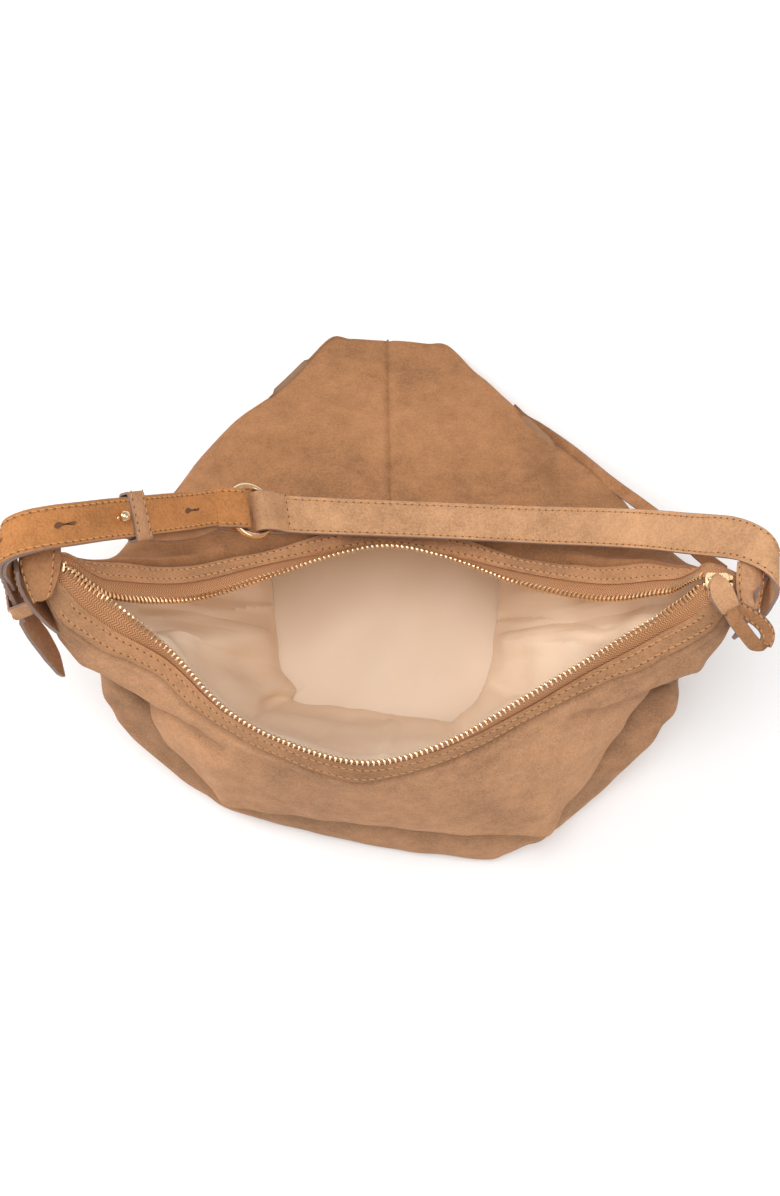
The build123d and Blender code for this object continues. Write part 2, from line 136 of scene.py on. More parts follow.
class Finish:
    """One material being built."""

    def __init__(self, name):
        self.material = bpy.data.materials.new(name)
        self.material.use_nodes = True
        self.tree = self.material.node_tree
        self.bsdf = next(n for n in self.tree.nodes if n.type == "BSDF_PRINCIPLED")

    def node(self, kind, settings=None, out=0, **sockets):
        node = self.tree.nodes.new(kind)
        for key, value in (settings or {}).items():
            setattr(node, key, value)
        for key, value in sockets.items():
            put(self.tree, node.inputs[int(key[1:]) if key[0] == "_" else key], value)
        return S(self.tree, node.outputs[out])

    def noise(self, scale, detail=3.0, rough=0.55):
        coords = self.node("ShaderNodeTexCoord", out=3)
        return self.node(
            "ShaderNodeTexNoise", Vector=coords, Scale=scale, Detail=detail, Roughness=rough
        )

    def ramp(self, value, stops):
        node = self.tree.nodes.new("ShaderNodeValToRGB")
        elements = node.color_ramp.elements
        while len(elements) < len(stops):
            elements.new(0.5)
        for element, (place, colour) in zip(elements, stops):
            element.position = place
            element.color = (*colour, 1)
        put(self.tree, node.inputs[0], value)
        return S(self.tree, node.outputs[0])

    def mix(self, factor, first, second, blend="MIX"):
        node = self.tree.nodes.new("ShaderNodeMix")
        node.data_type = "RGBA"
        node.blend_type = blend
        put(self.tree, node.inputs[0], factor)
        put(self.tree, node.inputs[6], first if isinstance(first, S) else (*first, 1))
        put(self.tree, node.inputs[7], second if isinstance(second, S) else (*second, 1))
        return S(self.tree, node.outputs[2])

    def shaded(self, colour):
        """Colour darkened by painted shade where the piece's shade value is low."""
        shade = self.node("ShaderNodeAttribute", {"attribute_name": "shade"}, out=2)
        grey = self.node("ShaderNodeCombineColor", _0=shade, _1=shade, _2=shade)
        return self.mix(1.0, colour, grey, "MULTIPLY")

    def bump(self, height, distance, strength=1.0):
        normal = self.node(
            "ShaderNodeBump", Height=height, Distance=distance, Strength=strength
        )
        put(self.tree, self.bsdf.inputs["Normal"], normal)

    def set(self, **sockets):
        for key, value in sockets.items():
            put(self.tree, self.bsdf.inputs[key.replace("_", " ")], value)
        return self


def srgb(r, g, b):
    """Linear colour from the usual 0 to 255 numbers."""
    return tuple(
        (c / 255 / 12.92) if c / 255 <= 0.04045 else ((c / 255 + 0.055) / 1.055) ** 2.4
        for c in (r, g, b)
    )


def suede(name, colour):
    """Brushed leather: slow mottling, brushed streaks and short fibres."""
    m = Finish(name)
    mottle = m.noise(16, 3, 0.55)
    brushed = m.noise(90, 4, 0.7)
    fibre = m.noise(800, 4, 0.75)
    dark = tuple(c * 0.70 for c in colour)
    light = tuple(min(c * 1.28, 1) for c in colour)
    tone = mottle * 0.5 + brushed * 0.45 + fibre * 0.7 - 0.325
    base = m.ramp(tone, [(0.33, dark), (0.5, colour), (0.69, light)])
    base = m.shaded(base)
    m.set(Base_Color=base, Roughness=0.93, Specular_IOR_Level=0.2)
    m.set(Sheen_Weight=0.08, Sheen_Roughness=0.55, Sheen_Tint=(*light, 1))
    m.bump(fibre * 0.7 + brushed, 0.0004, 0.8)
    return m.material


SUEDE = suede("suede_front", srgb(186, 139, 103))
SUEDE_BACK = suede("suede_back", srgb(165, 117, 80))
SUEDE_STRAP = suede("suede_strap", srgb(190, 144, 106))
SUEDE_WORN = suede("suede_adjuster", srgb(184, 124, 74))
SUEDE_EDGE = suede("suede_facing", srgb(176, 130, 94))


def plain(name, colour, rough, noise_scale=300, depth=0.00006, metallic=0.0):
    m = Finish(name)
    grain = m.noise(noise_scale, 3)
    shade = tuple(c * 0.82 for c in colour)
    m.set(Base_Color=m.ramp(grain, [(0.3, shade), (0.7, colour)]), Metallic=metallic)
    m.set(Roughness=grain * 0.12 + (rough - 0.06))
    m.bump(grain, depth)
    return m.material


EDGE_PAINT = plain("edge_paint", srgb(146, 118, 104), 0.55)
FLESH = plain("raw_leather_back", srgb(150, 112, 82), 0.85)
THREAD = plain("thread", srgb(205, 150, 96), 0.6, 2500)
# Dark colour for needle holes and keyhole slots: painted shade in the openings.
HOLE_SHADE = plain("painted_hole_shade", srgb(112, 74, 48), 0.9, 900)
GOLD = plain("gold_plate", srgb(246, 208, 164), 0.2, 40, 0.0, 1.0)
BOARD = plain("stiffener_board", srgb(120, 105, 90), 0.8)


def lining_cloth():
    m = Finish("lining_twill")
    uv = m.node("ShaderNodeTexCoord", out=2)
    parts = m.node("ShaderNodeSeparateXYZ", Vector=uv)
    along = S(m.tree, parts.socket.node.outputs[0])
    across = S(m.tree, parts.socket.node.outputs[1])
    rib = ((along + across) * (2 * math.pi / 0.0011)).sin() * 0.5 + 0.5
    warp = (across * (2 * math.pi / 0.0007)).sin() * 0.5 + 0.5
    cloud = m.noise(9, 3)
    tone = cloud * 0.8 + rib * 0.08 + 0.05
    low, high = srgb(234, 208, 182), srgb(247, 225, 200)
    m.set(Base_Color=m.shaded(m.ramp(tone, [(0.3, low), (0.7, high)])), Roughness=0.52)
    m.set(Sheen_Weight=0.06, Sheen_Roughness=0.4)
    m.bump(rib * 0.7 + warp * 0.3, 0.00005, 0.5)
    return m.material


def tape_cloth():
    m = Finish("zip_tape_herringbone")
    uv = m.node("ShaderNodeTexCoord", out=2)
    parts = m.node("ShaderNodeSeparateXYZ", Vector=uv)
    along = S(m.tree, parts.socket.node.outputs[0])
    across = S(m.tree, parts.socket.node.outputs[1])
    flip = ((across / 0.0018).floor().mod(2.0)) * 2.0 - 1.0
    rib = ((along + across * flip) * (2 * math.pi / 0.0016)).sin() * 0.5 + 0.5
    low, high = srgb(148, 98, 60), srgb(206, 148, 102)
    m.set(Base_Color=m.ramp(rib, [(0.1, low), (0.8, high)]), Roughness=0.8)
    m.bump(rib, 0.00025, 0.8)
    return m.material


LINING = lining_cloth()
TAPE = tape_cloth()


# ---------------------------------------------------------------- mesh helpers
class Builder:
    """Collects grids of points into one mesh piece."""

    def __init__(self, name, materials):
        self.name, self.materials = name, materials
        self.verts, self.faces, self.slots, self.uvs, self.shade = [], [], [], [], []

    def grid(self, points, slot=0, flip=False, close=False, uv=None):
        rows, cols = points.shape[:2]
        base = sum(len(v) for v in self.verts)
        if uv is None:
            step_c = np.linalg.norm(np.diff(points, axis=1), axis=2)
            step_r = np.linalg.norm(np.diff(points, axis=0), axis=2)
            u = np.concatenate([[0], np.cumsum(step_c.mean(0))]) * np.ones((rows, 1))
            v = np.concatenate([[0], np.cumsum(step_r.mean(1))])[:, None] * np.ones((1, cols))
            uv = np.dstack([u, v])
        self.verts.append(points.reshape(-1, 3))
        self.uvs.append(uv.reshape(-1, 2))
        for i in range(rows - 1):
            for j in range(cols if close else cols - 1):
                k = (j + 1) % cols
                a, b = base + i * cols + j, base + i * cols + k
                c, d = base + (i + 1) * cols + k, base + (i + 1) * cols + j
                self.faces.append((a, d, c, b) if flip else (a, b, c, d))
                self.slots.append(slot)

    def fan(self, loop, slot=0, flip=False):
        base = sum(len(v) for v in self.verts)
        self.verts.append(np.vstack([loop, loop.mean(0)]))
        self.uvs.append(self.verts[-1][:, :2])
        n = len(loop)
        for i in range(n):
            a, b, c = base + i, base + (i + 1) % n, base + n
            self.faces.append((c, b, a) if flip else (a, b, c))
            self.slots.append(slot)

    def make(self, body, cad=()):
        mesh = bpy.data.meshes.new(self.name)
        verts = np.vstack(self.verts)
        mesh.from_pydata((verts + SHIFT) * MM, [], self.faces)
        for material in self.materials:
            mesh.materials.append(material)
        mesh.polygons.foreach_set("material_index", self.slots)
        mesh.polygons.foreach_set("use_smooth", [True] * len(self.faces))
        # Per-point painted shade: the materials multiply their colour by these values.
        shade = mesh.attributes.new("shade", "FLOAT", "POINT")
        painted_shade = np.ones(len(verts))
        painted_shade[:len(self.shade)] = self.shade
        shade.data.foreach_set("value", painted_shade)
        layer = mesh.uv_layers.new(name="uv")
        index = np.zeros(len(mesh.loops), int)
        mesh.loops.foreach_get("vertex_index", index)
        layer.data.foreach_set("uv", (np.vstack(self.uvs)[index] * MM).ravel())
        mesh.update()
        piece = bpy.data.objects.new(self.name, mesh)
        bpy.context.scene.collection.objects.link(piece)
        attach(piece, body)
        if cad:
            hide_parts(*cad)
        return piece


def spline(control, per, closed=False):
    """Catmull-Rom curve through control points."""
    p = np.asarray(control, float)
    n = len(p)
    if closed:
        quads = [(p[i - 1], p[i], p[(i + 1) % n], p[(i + 2) % n]) for i in range(n)]
    else:
        e = np.concatenate([[2 * p[0] - p[1]], p, [2 * p[-1] - p[-2]]])
        quads = [(e[i], e[i + 1], e[i + 2], e[i + 3]) for i in range(n - 1)]
    out = []
    for a, b, c, d in quads:
        for t in np.arange(per) / per:
            out.append(0.5 * (
                2 * b + (c - a) * t + (2 * a - 5 * b + 4 * c - d) * t ** 2
                + (3 * b - a - 3 * c + d) * t ** 3
            ))
    if not closed:
        out.append(p[-1])
    return np.array(out)


def normals(points, closed=False):
    along = np.gradient(points, axis=1)
    if closed:
        along = np.roll(points, -1, 1) - np.roll(points, 1, 1)
    upward = np.gradient(points, axis=0)
    return unit(np.cross(along, upward))


def smooth_noise(points, scale, seed):
    """Gentle random hills over space, from a few sine waves."""
    local = np.random.default_rng(seed)
    total = np.zeros(points.shape[:-1])
    for _ in range(7):
        wave = unit(local.normal(size=3)) * local.uniform(0.6, 1.6) * 2 * math.pi / scale
        total += np.sin(points @ wave + local.uniform(0, 6.3))
    return total / 2.6


def flatten(points):
    """Creases reach down through the cloth, so height counts for less."""
    return points - (points @ look)[..., None] * look * 0.92


def crease(points, line, width, depth):
    """How far each point moves for a crease along a line: negative is a valley."""
    line = flatten(spline(line, 8))
    points = flatten(points)
    best = np.full(points.shape[:-1], 1e9)
    for a, b in zip(line, line[1:]):
        ab = b - a
        t = np.clip(((points - a) @ ab) / (ab @ ab), 0, 1)
        best = np.minimum(best, np.linalg.norm(points - (a + t[..., None] * ab), axis=-1))
    return depth * np.exp(-(best / width) ** 2)


def sheet(name, outer, thick, materials, body, cad=(), shade=None):
    """Thick sheet: outer face, inner face and its cut edges."""
    inner = outer - normals(outer) * thick
    b = Builder(name, materials)
    if shade is not None:
        b.shade = np.clip(shade, 0.3, 1.15).ravel()
    b.grid(outer, 0)
    b.grid(inner, 1, flip=True)
    for line_o, line_i in (
        (outer[0], inner[0]), (inner[-1], outer[-1]),
        (inner[:, 0], outer[:, 0]), (outer[:, -1], inner[:, -1]),
    ):
        b.grid(np.stack([line_i, line_o]), 2)
    piece = b.make(body, cad)
    sharpen(piece)
    return piece


def sweep(name, centres, wide, out, profile, slots, materials, body, cad=()):
    """Closed profile carried along a path; slots gives a material for each side."""
    profile = np.asarray(profile, float)
    rings = np.array([
        [c + w * a + o * h for a, h in profile] for c, w, o in zip(centres, wide, out)
    ])
    length = np.concatenate([[0], np.cumsum(np.linalg.norm(np.diff(centres, axis=0), axis=1))])
    b = Builder(name, materials)
    n = len(profile)
    for j in range(n):
        k = (j + 1) % n
        strip = np.stack([rings[:, j], rings[:, k]], axis=1)
        uv = np.dstack([
            np.stack([length, length], 1),
            np.ones((len(rings), 1)) * np.array([profile[j][0], profile[k][0]]),
        ])
        b.grid(strip, slots[j], uv=uv)
    b.fan(rings[0], slots[0])
    b.fan(rings[-1], slots[0], flip=True)
    piece = b.make(body, cad)
    weld(piece)
    return piece


def sharpen(piece, limit=0.6, join=False):
    """Sharp shading along folds and rims; join also merges doubled points."""
    bm = bmesh.new()
    bm.from_mesh(piece.data)
    if join:
        bmesh.ops.remove_doubles(bm, verts=bm.verts, dist=0.00001)
        bmesh.ops.recalc_face_normals(bm, faces=bm.faces)
    for edge in bm.edges:
        if len(edge.link_faces) == 2 and edge.calc_face_angle(0) > limit:
            edge.smooth = False
    bm.to_mesh(piece.data)
    bm.free()


def weld(piece):
    sharpen(piece, 0.7, True)


def resample(line, step, offset=0.0):
    """Points, tangents and positions every step along a polyline."""
    line = np.asarray(line, float)
    seg = np.linalg.norm(np.diff(line, axis=0), axis=1)
    s = np.concatenate([[0], np.cumsum(seg)])
    where = np.arange(offset, s[-1], step)
    points = np.stack([np.interp(where, s, line[:, i]) for i in range(3)], 1)
    ahead = np.stack([np.interp(np.minimum(where + 0.5, s[-1]), s, line[:, i]) for i in range(3)], 1)
    behind = np.stack([np.interp(np.maximum(where - 0.5, 0), s, line[:, i]) for i in range(3)], 1)
    return points, unit(ahead - behind), where / s[-1]


STITCH = 3.1
GAP = 0.9
SLANT = 0.18             # sideways lean of each stitch


def stitches(name, line, out, body):
    """Run of raised stitches with a needle hole between them; each hole is a dark disc of painted shade."""
    points, tangents, place = resample(line, STITCH + GAP, STITCH / 2)
    out = np.asarray(out, float)
    if out.ndim == 1:
        out = np.tile(out, (len(line), 1))
    idx = np.clip((place * (len(line) - 1)).round().astype(int), 0, len(line) - 1)
    b = Builder(name, [THREAD, HOLE_SHADE])
    for p, t, o in zip(points, tangents, out[idx]):
        side = unit(np.cross(t, o))
        o = unit(np.cross(side, t))
        run = unit(t + side * SLANT)
        cross = unit(np.cross(o, run))
        rings = []
        for x, r in ((-1.0, 0.2), (-0.72, 0.75), (0, 1.0), (0.72, 0.75), (1.0, 0.2)):
            centre = p + run * x * STITCH / 2 + o * (0.18 * (1 - x * x) - 0.02)
            rings.append([
                centre + (cross * math.cos(q) * 0.46 + o * math.sin(q) * 0.4) * r
                for q in np.linspace(0, 2 * math.pi, 7)
            ])
        b.grid(np.array(rings), 0, flip=True)
        # The needle hole: a flat disc of painted shade.
        hole = p + run * (STITCH + GAP) / 2 + o * 0.06
        disc = [
            hole + cross * math.cos(q) * 0.42 + run * math.sin(q) * 0.75
            for q in np.arange(6) * math.pi / 3
        ]
        b.fan(np.array(disc), 1)
    return b.make(body, ())


# ---------------------------------------------------------------- body of the bag
PER = 24
FLOOR = [
    (142, 0, 0), (134, 34, 0), (116, 68, 0), (80, 108, 0), (24, 164, 0),
    (-10, 168, 0), (-42, 166, 0), (-78, 112, 0), (-110, 66, 0), (-128, 30, 0),
    (-138, -4, 0), (-138, -46, 0), (-118, -74, 0), (-84, -97, 0), (-40, -108, 0),
    (4, -112, 0), (46, -117, 0), (86, -112, 0), (124, -84, 0), (146, -46, 0),
]
BULGE = [
    (155, -2, 42), (143, 36, 36), (124, 74, 30), (86, 116, 20), (29, 169, 4),
    (-5, 172, 4), (-39, 173, 4), (-87, 122, 26), (-122, 76, 36), (-142, 32, 42),
    (-153, -8, 50), (-154, -50, 62), (-132, -77, 38), (-93, -104, 16), (-42, -115.5, 10),
    (8, -125, 8), (64, -129, 8), (91, -118, 13), (128, -84, 34), (161, -49, 64),
]
FOLD = [
    (163, -4, 118), (150, 34, 100), (126, 70, 78), (84, 116, 44), (31, 174, 10),
    (-5, 176.5, 10), (-39, 177.5, 10), (-82, 120, 42), (-118, 68, 74), (-146, 22, 105),
    (-160, -7, 120), (-147, -45, 106), (-114, -79, 62), (-86, -107.5, 51), (-40, -112, 54),
    (6, -116.5, 54), (52, -119, 52), (94, -117.5, 50), (119, -76, 62), (149, -40, 102),
]
SEAM = [
    (178, 0, 194), (150, 14, 166), (116, 20, 130), (75, 29, 100), (38, 42, 90),
    (1, 48, 86), (-32, 42, 90), (-68, 28, 101), (-110, 13, 128), (-147, 5, 170),
    (-176, -2, 194), (-146, -36, 171), (-116, -50, 156), (-83, -73, 145), (-49, -89, 140),
    (-5.5, -98, 137), (38, -85, 140), (76, -64, 146), (110, -46, 154), (148, -28, 169),
]
FACING = [
    (172, 0, 204.2), (146, 7, 172), (113, 10, 134), (72, 20, 106), (36, 31, 89),
    (1, 36, 85), (-30, 31, 89), (-65, 20, 104), (-106, 3, 133), (-143, -4, 177),
    (-169, -1, 204), (-142, -26, 178), (-110, -42, 163), (-80, -67.3, 160), (-46, -83.2, 157.5),
    (-5.5, -91.2, 155.5), (35, -79.8, 156), (70, -61, 154), (101, -42, 160), (139, -21, 175),
]
TEETH = [
    (169, 0, 204.5), (143, 0, 176), (111, 0.5, 142), (71, 12, 115), (36, 27, 100),
    (1, 34, 97), (-30, 27, 100.5), (-63, 12, 112), (-102, -7, 140), (-139, -13.2, 180.8),
    (-163, -1.6, 205), (-139, -15.2, 181.2), (-107, -38.6, 174), (-79, -66, 167), (-46, -82, 162),
    (-5.5, -90, 160), (34, -78, 161), (68, -57, 165), (98, -38, 170), (136, -14, 182),
]
# Extra points beside the ears, as thirds of a step between two control points.
TEETH_EAR = {
    1: (154, 2.2, 204.5), 2: (149, 2, 192), 59: (154, -2.2, 204.5), 58: (147, -7, 194),
    28: (-147.5, -8.9, 189), 29: (-155, -3.7, 197.3), 31: (-155, -5.3, 197.3), 32: (-147.5, -10.6, 189),
}
FACING_EAR = {
    1: (158, 9, 202.5), 2: (152, 8, 187), 59: (158, -10, 202.5), 58: (150, -16, 188),
    29: (-158, 4, 196), 28: (-151, 0, 187), 31: (-158, -13, 195), 32: (-150, -21, 187),
}
SEAM_EAR = {
    1: (168, 10, 187), 2: (159, 13, 177), 59: (168, -12, 188), 58: (158, -21, 179),
    29: (-168, 6, 187), 28: (-158, 6, 178), 31: (-168, -15, 186), 32: (-158, -28, 178),
}


def ring(control, near_ear=None, corners=()):
    """Closed ring of 20 * PER points; thirds near the ears may be set one by one."""
    thirds = spline(control, 3, closed=True)
    control = np.asarray(control, float)
    for k in corners:
        for step in (-2, -1, 1, 2):
            other = control[(k + (1 if step > 0 else -1)) % 20]
            part = abs(step) / 3
            thirds[(3 * k + step) % 60] = control[k] * (1 - part) + other * part
    for column, place in (near_ear or {}).items():
        thirds[column] = place
    return spline(thirds, PER // 3, closed=True)


def between(low, high, t, bulge):
    middle = low * (1 - t) + high * t
    flat = middle * [1, 1, 0]
    return middle + unit(flat) * np.reshape(bulge, (-1, 1))


# The fold turns sharply where it leaves the side creases.
FOLD_SIDES = {
    33: (-148, -43.5, 112), 34: (-136, -51.5, 104), 35: (-125, -60, 93), 36: (-116, -74, 72),
    57: (156, -35.5, 112), 56: (145, -39, 97), 55: (133.5, -53.2, 79), 54: (121, -73, 64),
}


seam = ring(SEAM, SEAM_EAR)
facing = ring(FACING, FACING_EAR)
teeth = ring(TEETH, TEETH_EAR)
fold = ring(FOLD, FOLD_SIDES, corners=(4, 6, 13, 17))
bulge = ring(BULGE, corners=(4, 6, 16))
ground_ring = ring(FLOOR, corners=(4, 6))
front_side = np.clip((-10 - fold[:, 1]) / 30, 0, 1)[:, None]
radial = unit((fold - [0, 10, 0]) * [1, 1, 0])
tuck = fold - radial * (4 + 8 * front_side)
tuck[:, 2] -= np.minimum(1.5 + 2 * front_side[:, 0], fold[:, 2] * 0.2)
ledge = fold - radial * (2.5 + 2.0 * front_side)
ledge[:, 2] -= np.minimum(3 + 5 * front_side[:, 0], fold[:, 2] * 0.4)
lower = [ground_ring + [0, 0, 0.3], between(ground_ring, bulge, 0.45, 3.0), bulge,
         between(bulge, ledge, 0.5, 2.5), ledge]
FULLNESS = 3.5           # how far the wall between fold and seam stands out
upper = [fold, between(fold, seam, 0.3, FULLNESS), between(fold, seam, 0.66, FULLNESS), seam]
lower_rows = spline(np.array(lower), 7)
hem = spline(np.array([
    ledge, tuck * 0.8 + ledge * 0.2 + [0, 0, -1.2], tuck,
    tuck * 0.3 + fold * 0.7 + [0, 0, -0.8], fold,
]), 3)
upper_rows = spline(np.array(upper), 12)

# Each crease: its line, its width and its depth; a negative depth is a valley.
CREASES_OUT = [
    ([(-152, -42, 117), (-136, -50, 108), (-124, -58, 104), (-108, -64, 105), (-95, -73, 100),
      (-84, -79, 97)], 3.4, -5.2),
    ([(-150, -38, 128), (-124, -51, 118), (-100, -62, 113)], 6.5, 4.6),
    ([(-118, -68, 92), (-100, -80, 84), (-84, -88, 80)], 7, 1.6),
    ([(158, -33, 114), (140, -40, 107), (121, -49, 105), (100, -57, 104)], 3.4, -5.0),
    ([(156, -28, 126), (136, -37, 118), (112, -48, 113)], 6.5, 4.2),
    ([(126, -58, 86), (104, -72, 84)], 7, 1.4),
    ([(-60, -90, 128), (-30, -104, 110), (10, -110, 98), (50, -104, 100)], 12, -1.2),
    ([(-112, -84, 60), (-100, -88, 80)], 8, -1.2),
    ([(-156, 12, 136), (-136, 13, 131), (-112, 18, 119), (-90, 26, 108)], 3, 2.4),
    ([(-152, 20, 122), (-128, 24, 117), (-104, 28, 106)], 6, -3.0),
    ([(150, 16, 150), (128, 22, 128), (98, 30, 104)], 3, 2.2),
    ([(148, 24, 134), (126, 31, 115), (100, 40, 96)], 6, -2.8),
    ([(120, 50, 96), (100, 74, 74), (84, 96, 54)], 9, -1.8),
    ([(60, 60, 80), (30, 66, 78), (4, 62, 80)], 12, 1.4),
    ([(-110, 36, 106), (-76, 50, 92), (-40, 60, 84)], 10, -1.4),
    ([(-96, 84, 62), (-70, 96, 62), (-44, 92, 68)], 9, -1.5),
    ([(-146, -58, 66), (-124, -78, 40), (-98, -98, 22)], 6, -2.0),
    ([(156, -58, 66), (128, -82, 40), (106, -98, 24)], 6, -2.0),
    ([(1, 49, 86), (-1, 90, 62), (-3, 134, 36), (-5, 177, 10)], 1.7, -1.5),
]


def rough_up(points):
    """Points with the hills and creases of soft suede, and their painted shade: darker in crease valleys,
    lighter on ridges.
    """
    n = normals(points, closed=True)
    move = 1.1 * smooth_noise(points, 75, 3) + 0.45 * smooth_noise(points, 28, 5)
    fade = np.clip(points[..., 2] / 12, 0, 1)
    shade = np.ones(move.shape)
    for line, width, depth in CREASES_OUT:
        step = crease(points, line, width, depth)
        move = move + step
        # Painted shade in the crease valleys and painted light on the ridges.
        shade = shade + np.where(step < 0, step * 0.055, step * 0.012)
    return points + n * (move * fade)[..., None], shade


def fill_out(points, target, reach):
    """Bellies the cloth out so that it passes through a given point."""
    gap = np.linalg.norm(points - target, axis=-1)
    nearest = points.reshape(-1, 3)[np.argmin(gap)]
    return points + (np.asarray(target) - nearest) * np.exp(-(gap / reach) ** 2)[..., None]


for target, reach in (
    ((-160.5, -38.5, 142), 17), ((-165, -33, 158), 15), ((-154.5, -41, 126), 14),
    ((176.5, -23.5, 168), 15), ((168, -28.3, 148), 15), ((158.8, -33.5, 122), 12),
):
    upper_rows = fill_out(upper_rows, target, reach)
upper_rows, upper_shade = rough_up(upper_rows)
# Painted shade along the groove under the facing seam.
upper_shade[-1] = 0.6
upper_shade[-2] = 0.8
under_seam = normals(upper_rows, closed=True)
for row, rise in ((-1, -1.6), (-2, 0.1), (-3, 0.9), (-4, 0.8), (-5, 0.4)):
    upper_rows[row] += under_seam[row] * rise
seam = upper_rows[-1] + under_seam[-1] * 1.4
rough_lower, lower_shade = rough_up(lower_rows)
lower_rows[8:] = rough_lower[8:]
# Painted shade under the fold: darkest just beneath it, and mainly on the front.
depth = np.linspace(0, 1, len(lower_rows) - 14)[:, None]
under_fold = np.clip((40 - fold[:, 1]) / 60, 0, 1)
lower_shade[14:] *= 1 - (0.10 + 0.34 * depth ** 2.2) * under_fold
lower_shade[:14] *= 1 - 0.10 * under_fold
# Painted shade inside the tucked turn of the fold, lighter at the fold edge.
hem_shade = np.ones(hem.shape[:2]) * 0.5
hem_shade[-1] = 0.92
hem[0] = lower_rows[-1]
hem[-1] = upper_rows[0]


def part_of(rows, start, end):
    """Columns start to end of a closed stack of rings, in control steps."""
    count = rows.shape[1]
    index = np.arange(round(start * PER), round(end * PER) + 1) % count
    return rows[:, index]


def panel(name, start, end, finish, cad, fade=(1.0, 1.0)):
    rows = np.concatenate([part_of(lower_rows, start, end), part_of(hem, start, end)[1:],
                           part_of(upper_rows, start, end)[1:]])
    shade = np.concatenate([part_of(lower_shade, start, end), part_of(hem_shade, start, end)[1:],
                            part_of(upper_shade, start, end)[1:]])
    shade = shade * np.interp(np.linspace(0, 1, shade.shape[1]), [0.05, 0.95], fade)
    return sheet(name, rows, 1.5, [finish, FLESH, EDGE_PAINT], "bag", cad, shade=shade)


BACK_TONE = 0.7          # the sides deepen towards the darker back panels
panel("back_right_skin", 0, 5, SUEDE_BACK, ("back_panel_right",))
panel("back_left_skin", 5, 10, SUEDE_BACK, ("back_panel_left",))
panel("front_skin", 11.3, 18.7, SUEDE, ("front_panel",))
panel("side_left_skin", 10, 11.3, SUEDE, ("gusset_left",), (BACK_TONE, 1.0))
panel("side_right_skin", 18.7, 20, SUEDE, ("gusset_right",), (1.0, BACK_TONE))
base = Builder("base_skin", [SUEDE_BACK])
base.fan(lower_rows[0], 0, flip=True)
base.fan(lower_rows[0] + [0, 0, 1.2], 0)
base.make("bag", ("base_panel",))

facing_rows = spline(np.array([
    seam, seam * 0.5 + facing * 0.5, facing,
]), 5)
lift = normals(facing_rows, closed=True)
raised = np.array([0.1, 0.8, 1.15, 1.25, 1.25, 1.25, 1.25, 1.25, 1.2, 0.9, 0.2])
facing_rows = facing_rows + lift * raised[:, None, None]
for name, start, end, cad in (
    ("back_facing_band", 0, 10, "back_facing"), ("front_facing_band", 10, 20, "front_facing"),
):
    band = part_of(facing_rows, start, end)
    sheet(name, band, 1.5, [SUEDE_EDGE, FLESH, SUEDE_EDGE], "bag", (cad,))
    for tag, row in (("outer", 0.3), ("inner", 0.82)):
        k = row * (len(band) - 1)
        low = int(k)
        line = band[low] * (1 - k + low) + band[low + 1] * (k - low)
        outs = normals(band)[low]
        stitches(f"{name}_stitches_{tag}", line[12:-12], outs[12:-12], "bag")


# ---------------------------------------------------------------- zip
TOOTH_PITCH = 2.74
FINE = PER // 3
# One tooth, root to tip: place across the row, half width along it, half height.
TOOTH = ((-2.1, 0.5, 1.1), (-0.2, 0.52, 1.2), (0.6, 0.72, 1.1), (1.25, 0.7, 0.9), (1.5, 0.4, 0.5))
TOOTH_SECTION = (
    (-1, -0.7), (-0.7, -1), (0.7, -1), (1, -0.7), (1, 0.7), (0.7, 1), (-0.7, 1), (-1, 0.7), (-1, -0.7),
)
inward = unit(teeth - facing)
tape_start = facing - inward * 2.0 - normals(facing_rows, closed=True)[-1] * 1.1
tape_rows = spline(np.array([tape_start, facing * 0.5 + teeth * 0.5, teeth]), 6)
for name, start, end, cad in (
    ("zip_tape_behind", 0, 10, "zip_tape_back"), ("zip_tape_before", 10, 20, "zip_tape_front"),
):
    sheet(name, part_of(tape_rows, start, end), 0.7, [TAPE, TAPE, TAPE], "bag", (cad,))


def teeth_row(name, line, towards, phase, cad):
    line, towards = line[::-1], towards[::-1]
    points, tangents, place = resample(line, TOOTH_PITCH, phase)
    idx = place * (len(line) - 1)
    b = Builder(name, [GOLD])
    for p, t, i in zip(points, tangents, idx):
        across = towards[int(round(i))]
        across = unit(across - t * (across @ t))
        thick = np.cross(t, across)
        rings = []
        for a, wide, tall in TOOTH:
            rings.append([
                p + across * a + t * (wide * cu) + thick * (tall * cv)
                for cu, cv in TOOTH_SECTION
            ])
        b.grid(np.array(rings), 0)
        b.fan(np.array(rings[-1][:-1]), 0, flip=True)
        b.fan(np.array(rings[0][:-1]), 0)
    piece = b.make("bag", (cad,))
    weld(piece)


back_line = np.vstack([[(167.5, 1.7, 204.6), (160, 1.8, 204.6)], teeth[FINE:20 * FINE * 3 // 2 - 4]])
back_in = np.vstack([[(0, -1, 0), (0, -1, 0)], inward[FINE:20 * FINE * 3 // 2 - 4]])
front_line = np.vstack([[(167.5, -1.7, 204.6), (160, -1.8, 204.6)], teeth[-FINE:30 * FINE + 4:-1]])
front_in = np.vstack([[(0, 1, 0), (0, 1, 0)], inward[-FINE:30 * FINE + 4:-1]])
teeth_row("zip_teeth_behind", back_line, back_in, 0.8, "zip_teeth_back")
teeth_row("zip_teeth_before", front_line, front_in, 0.8 + TOOTH_PITCH / 2, "zip_teeth_front")

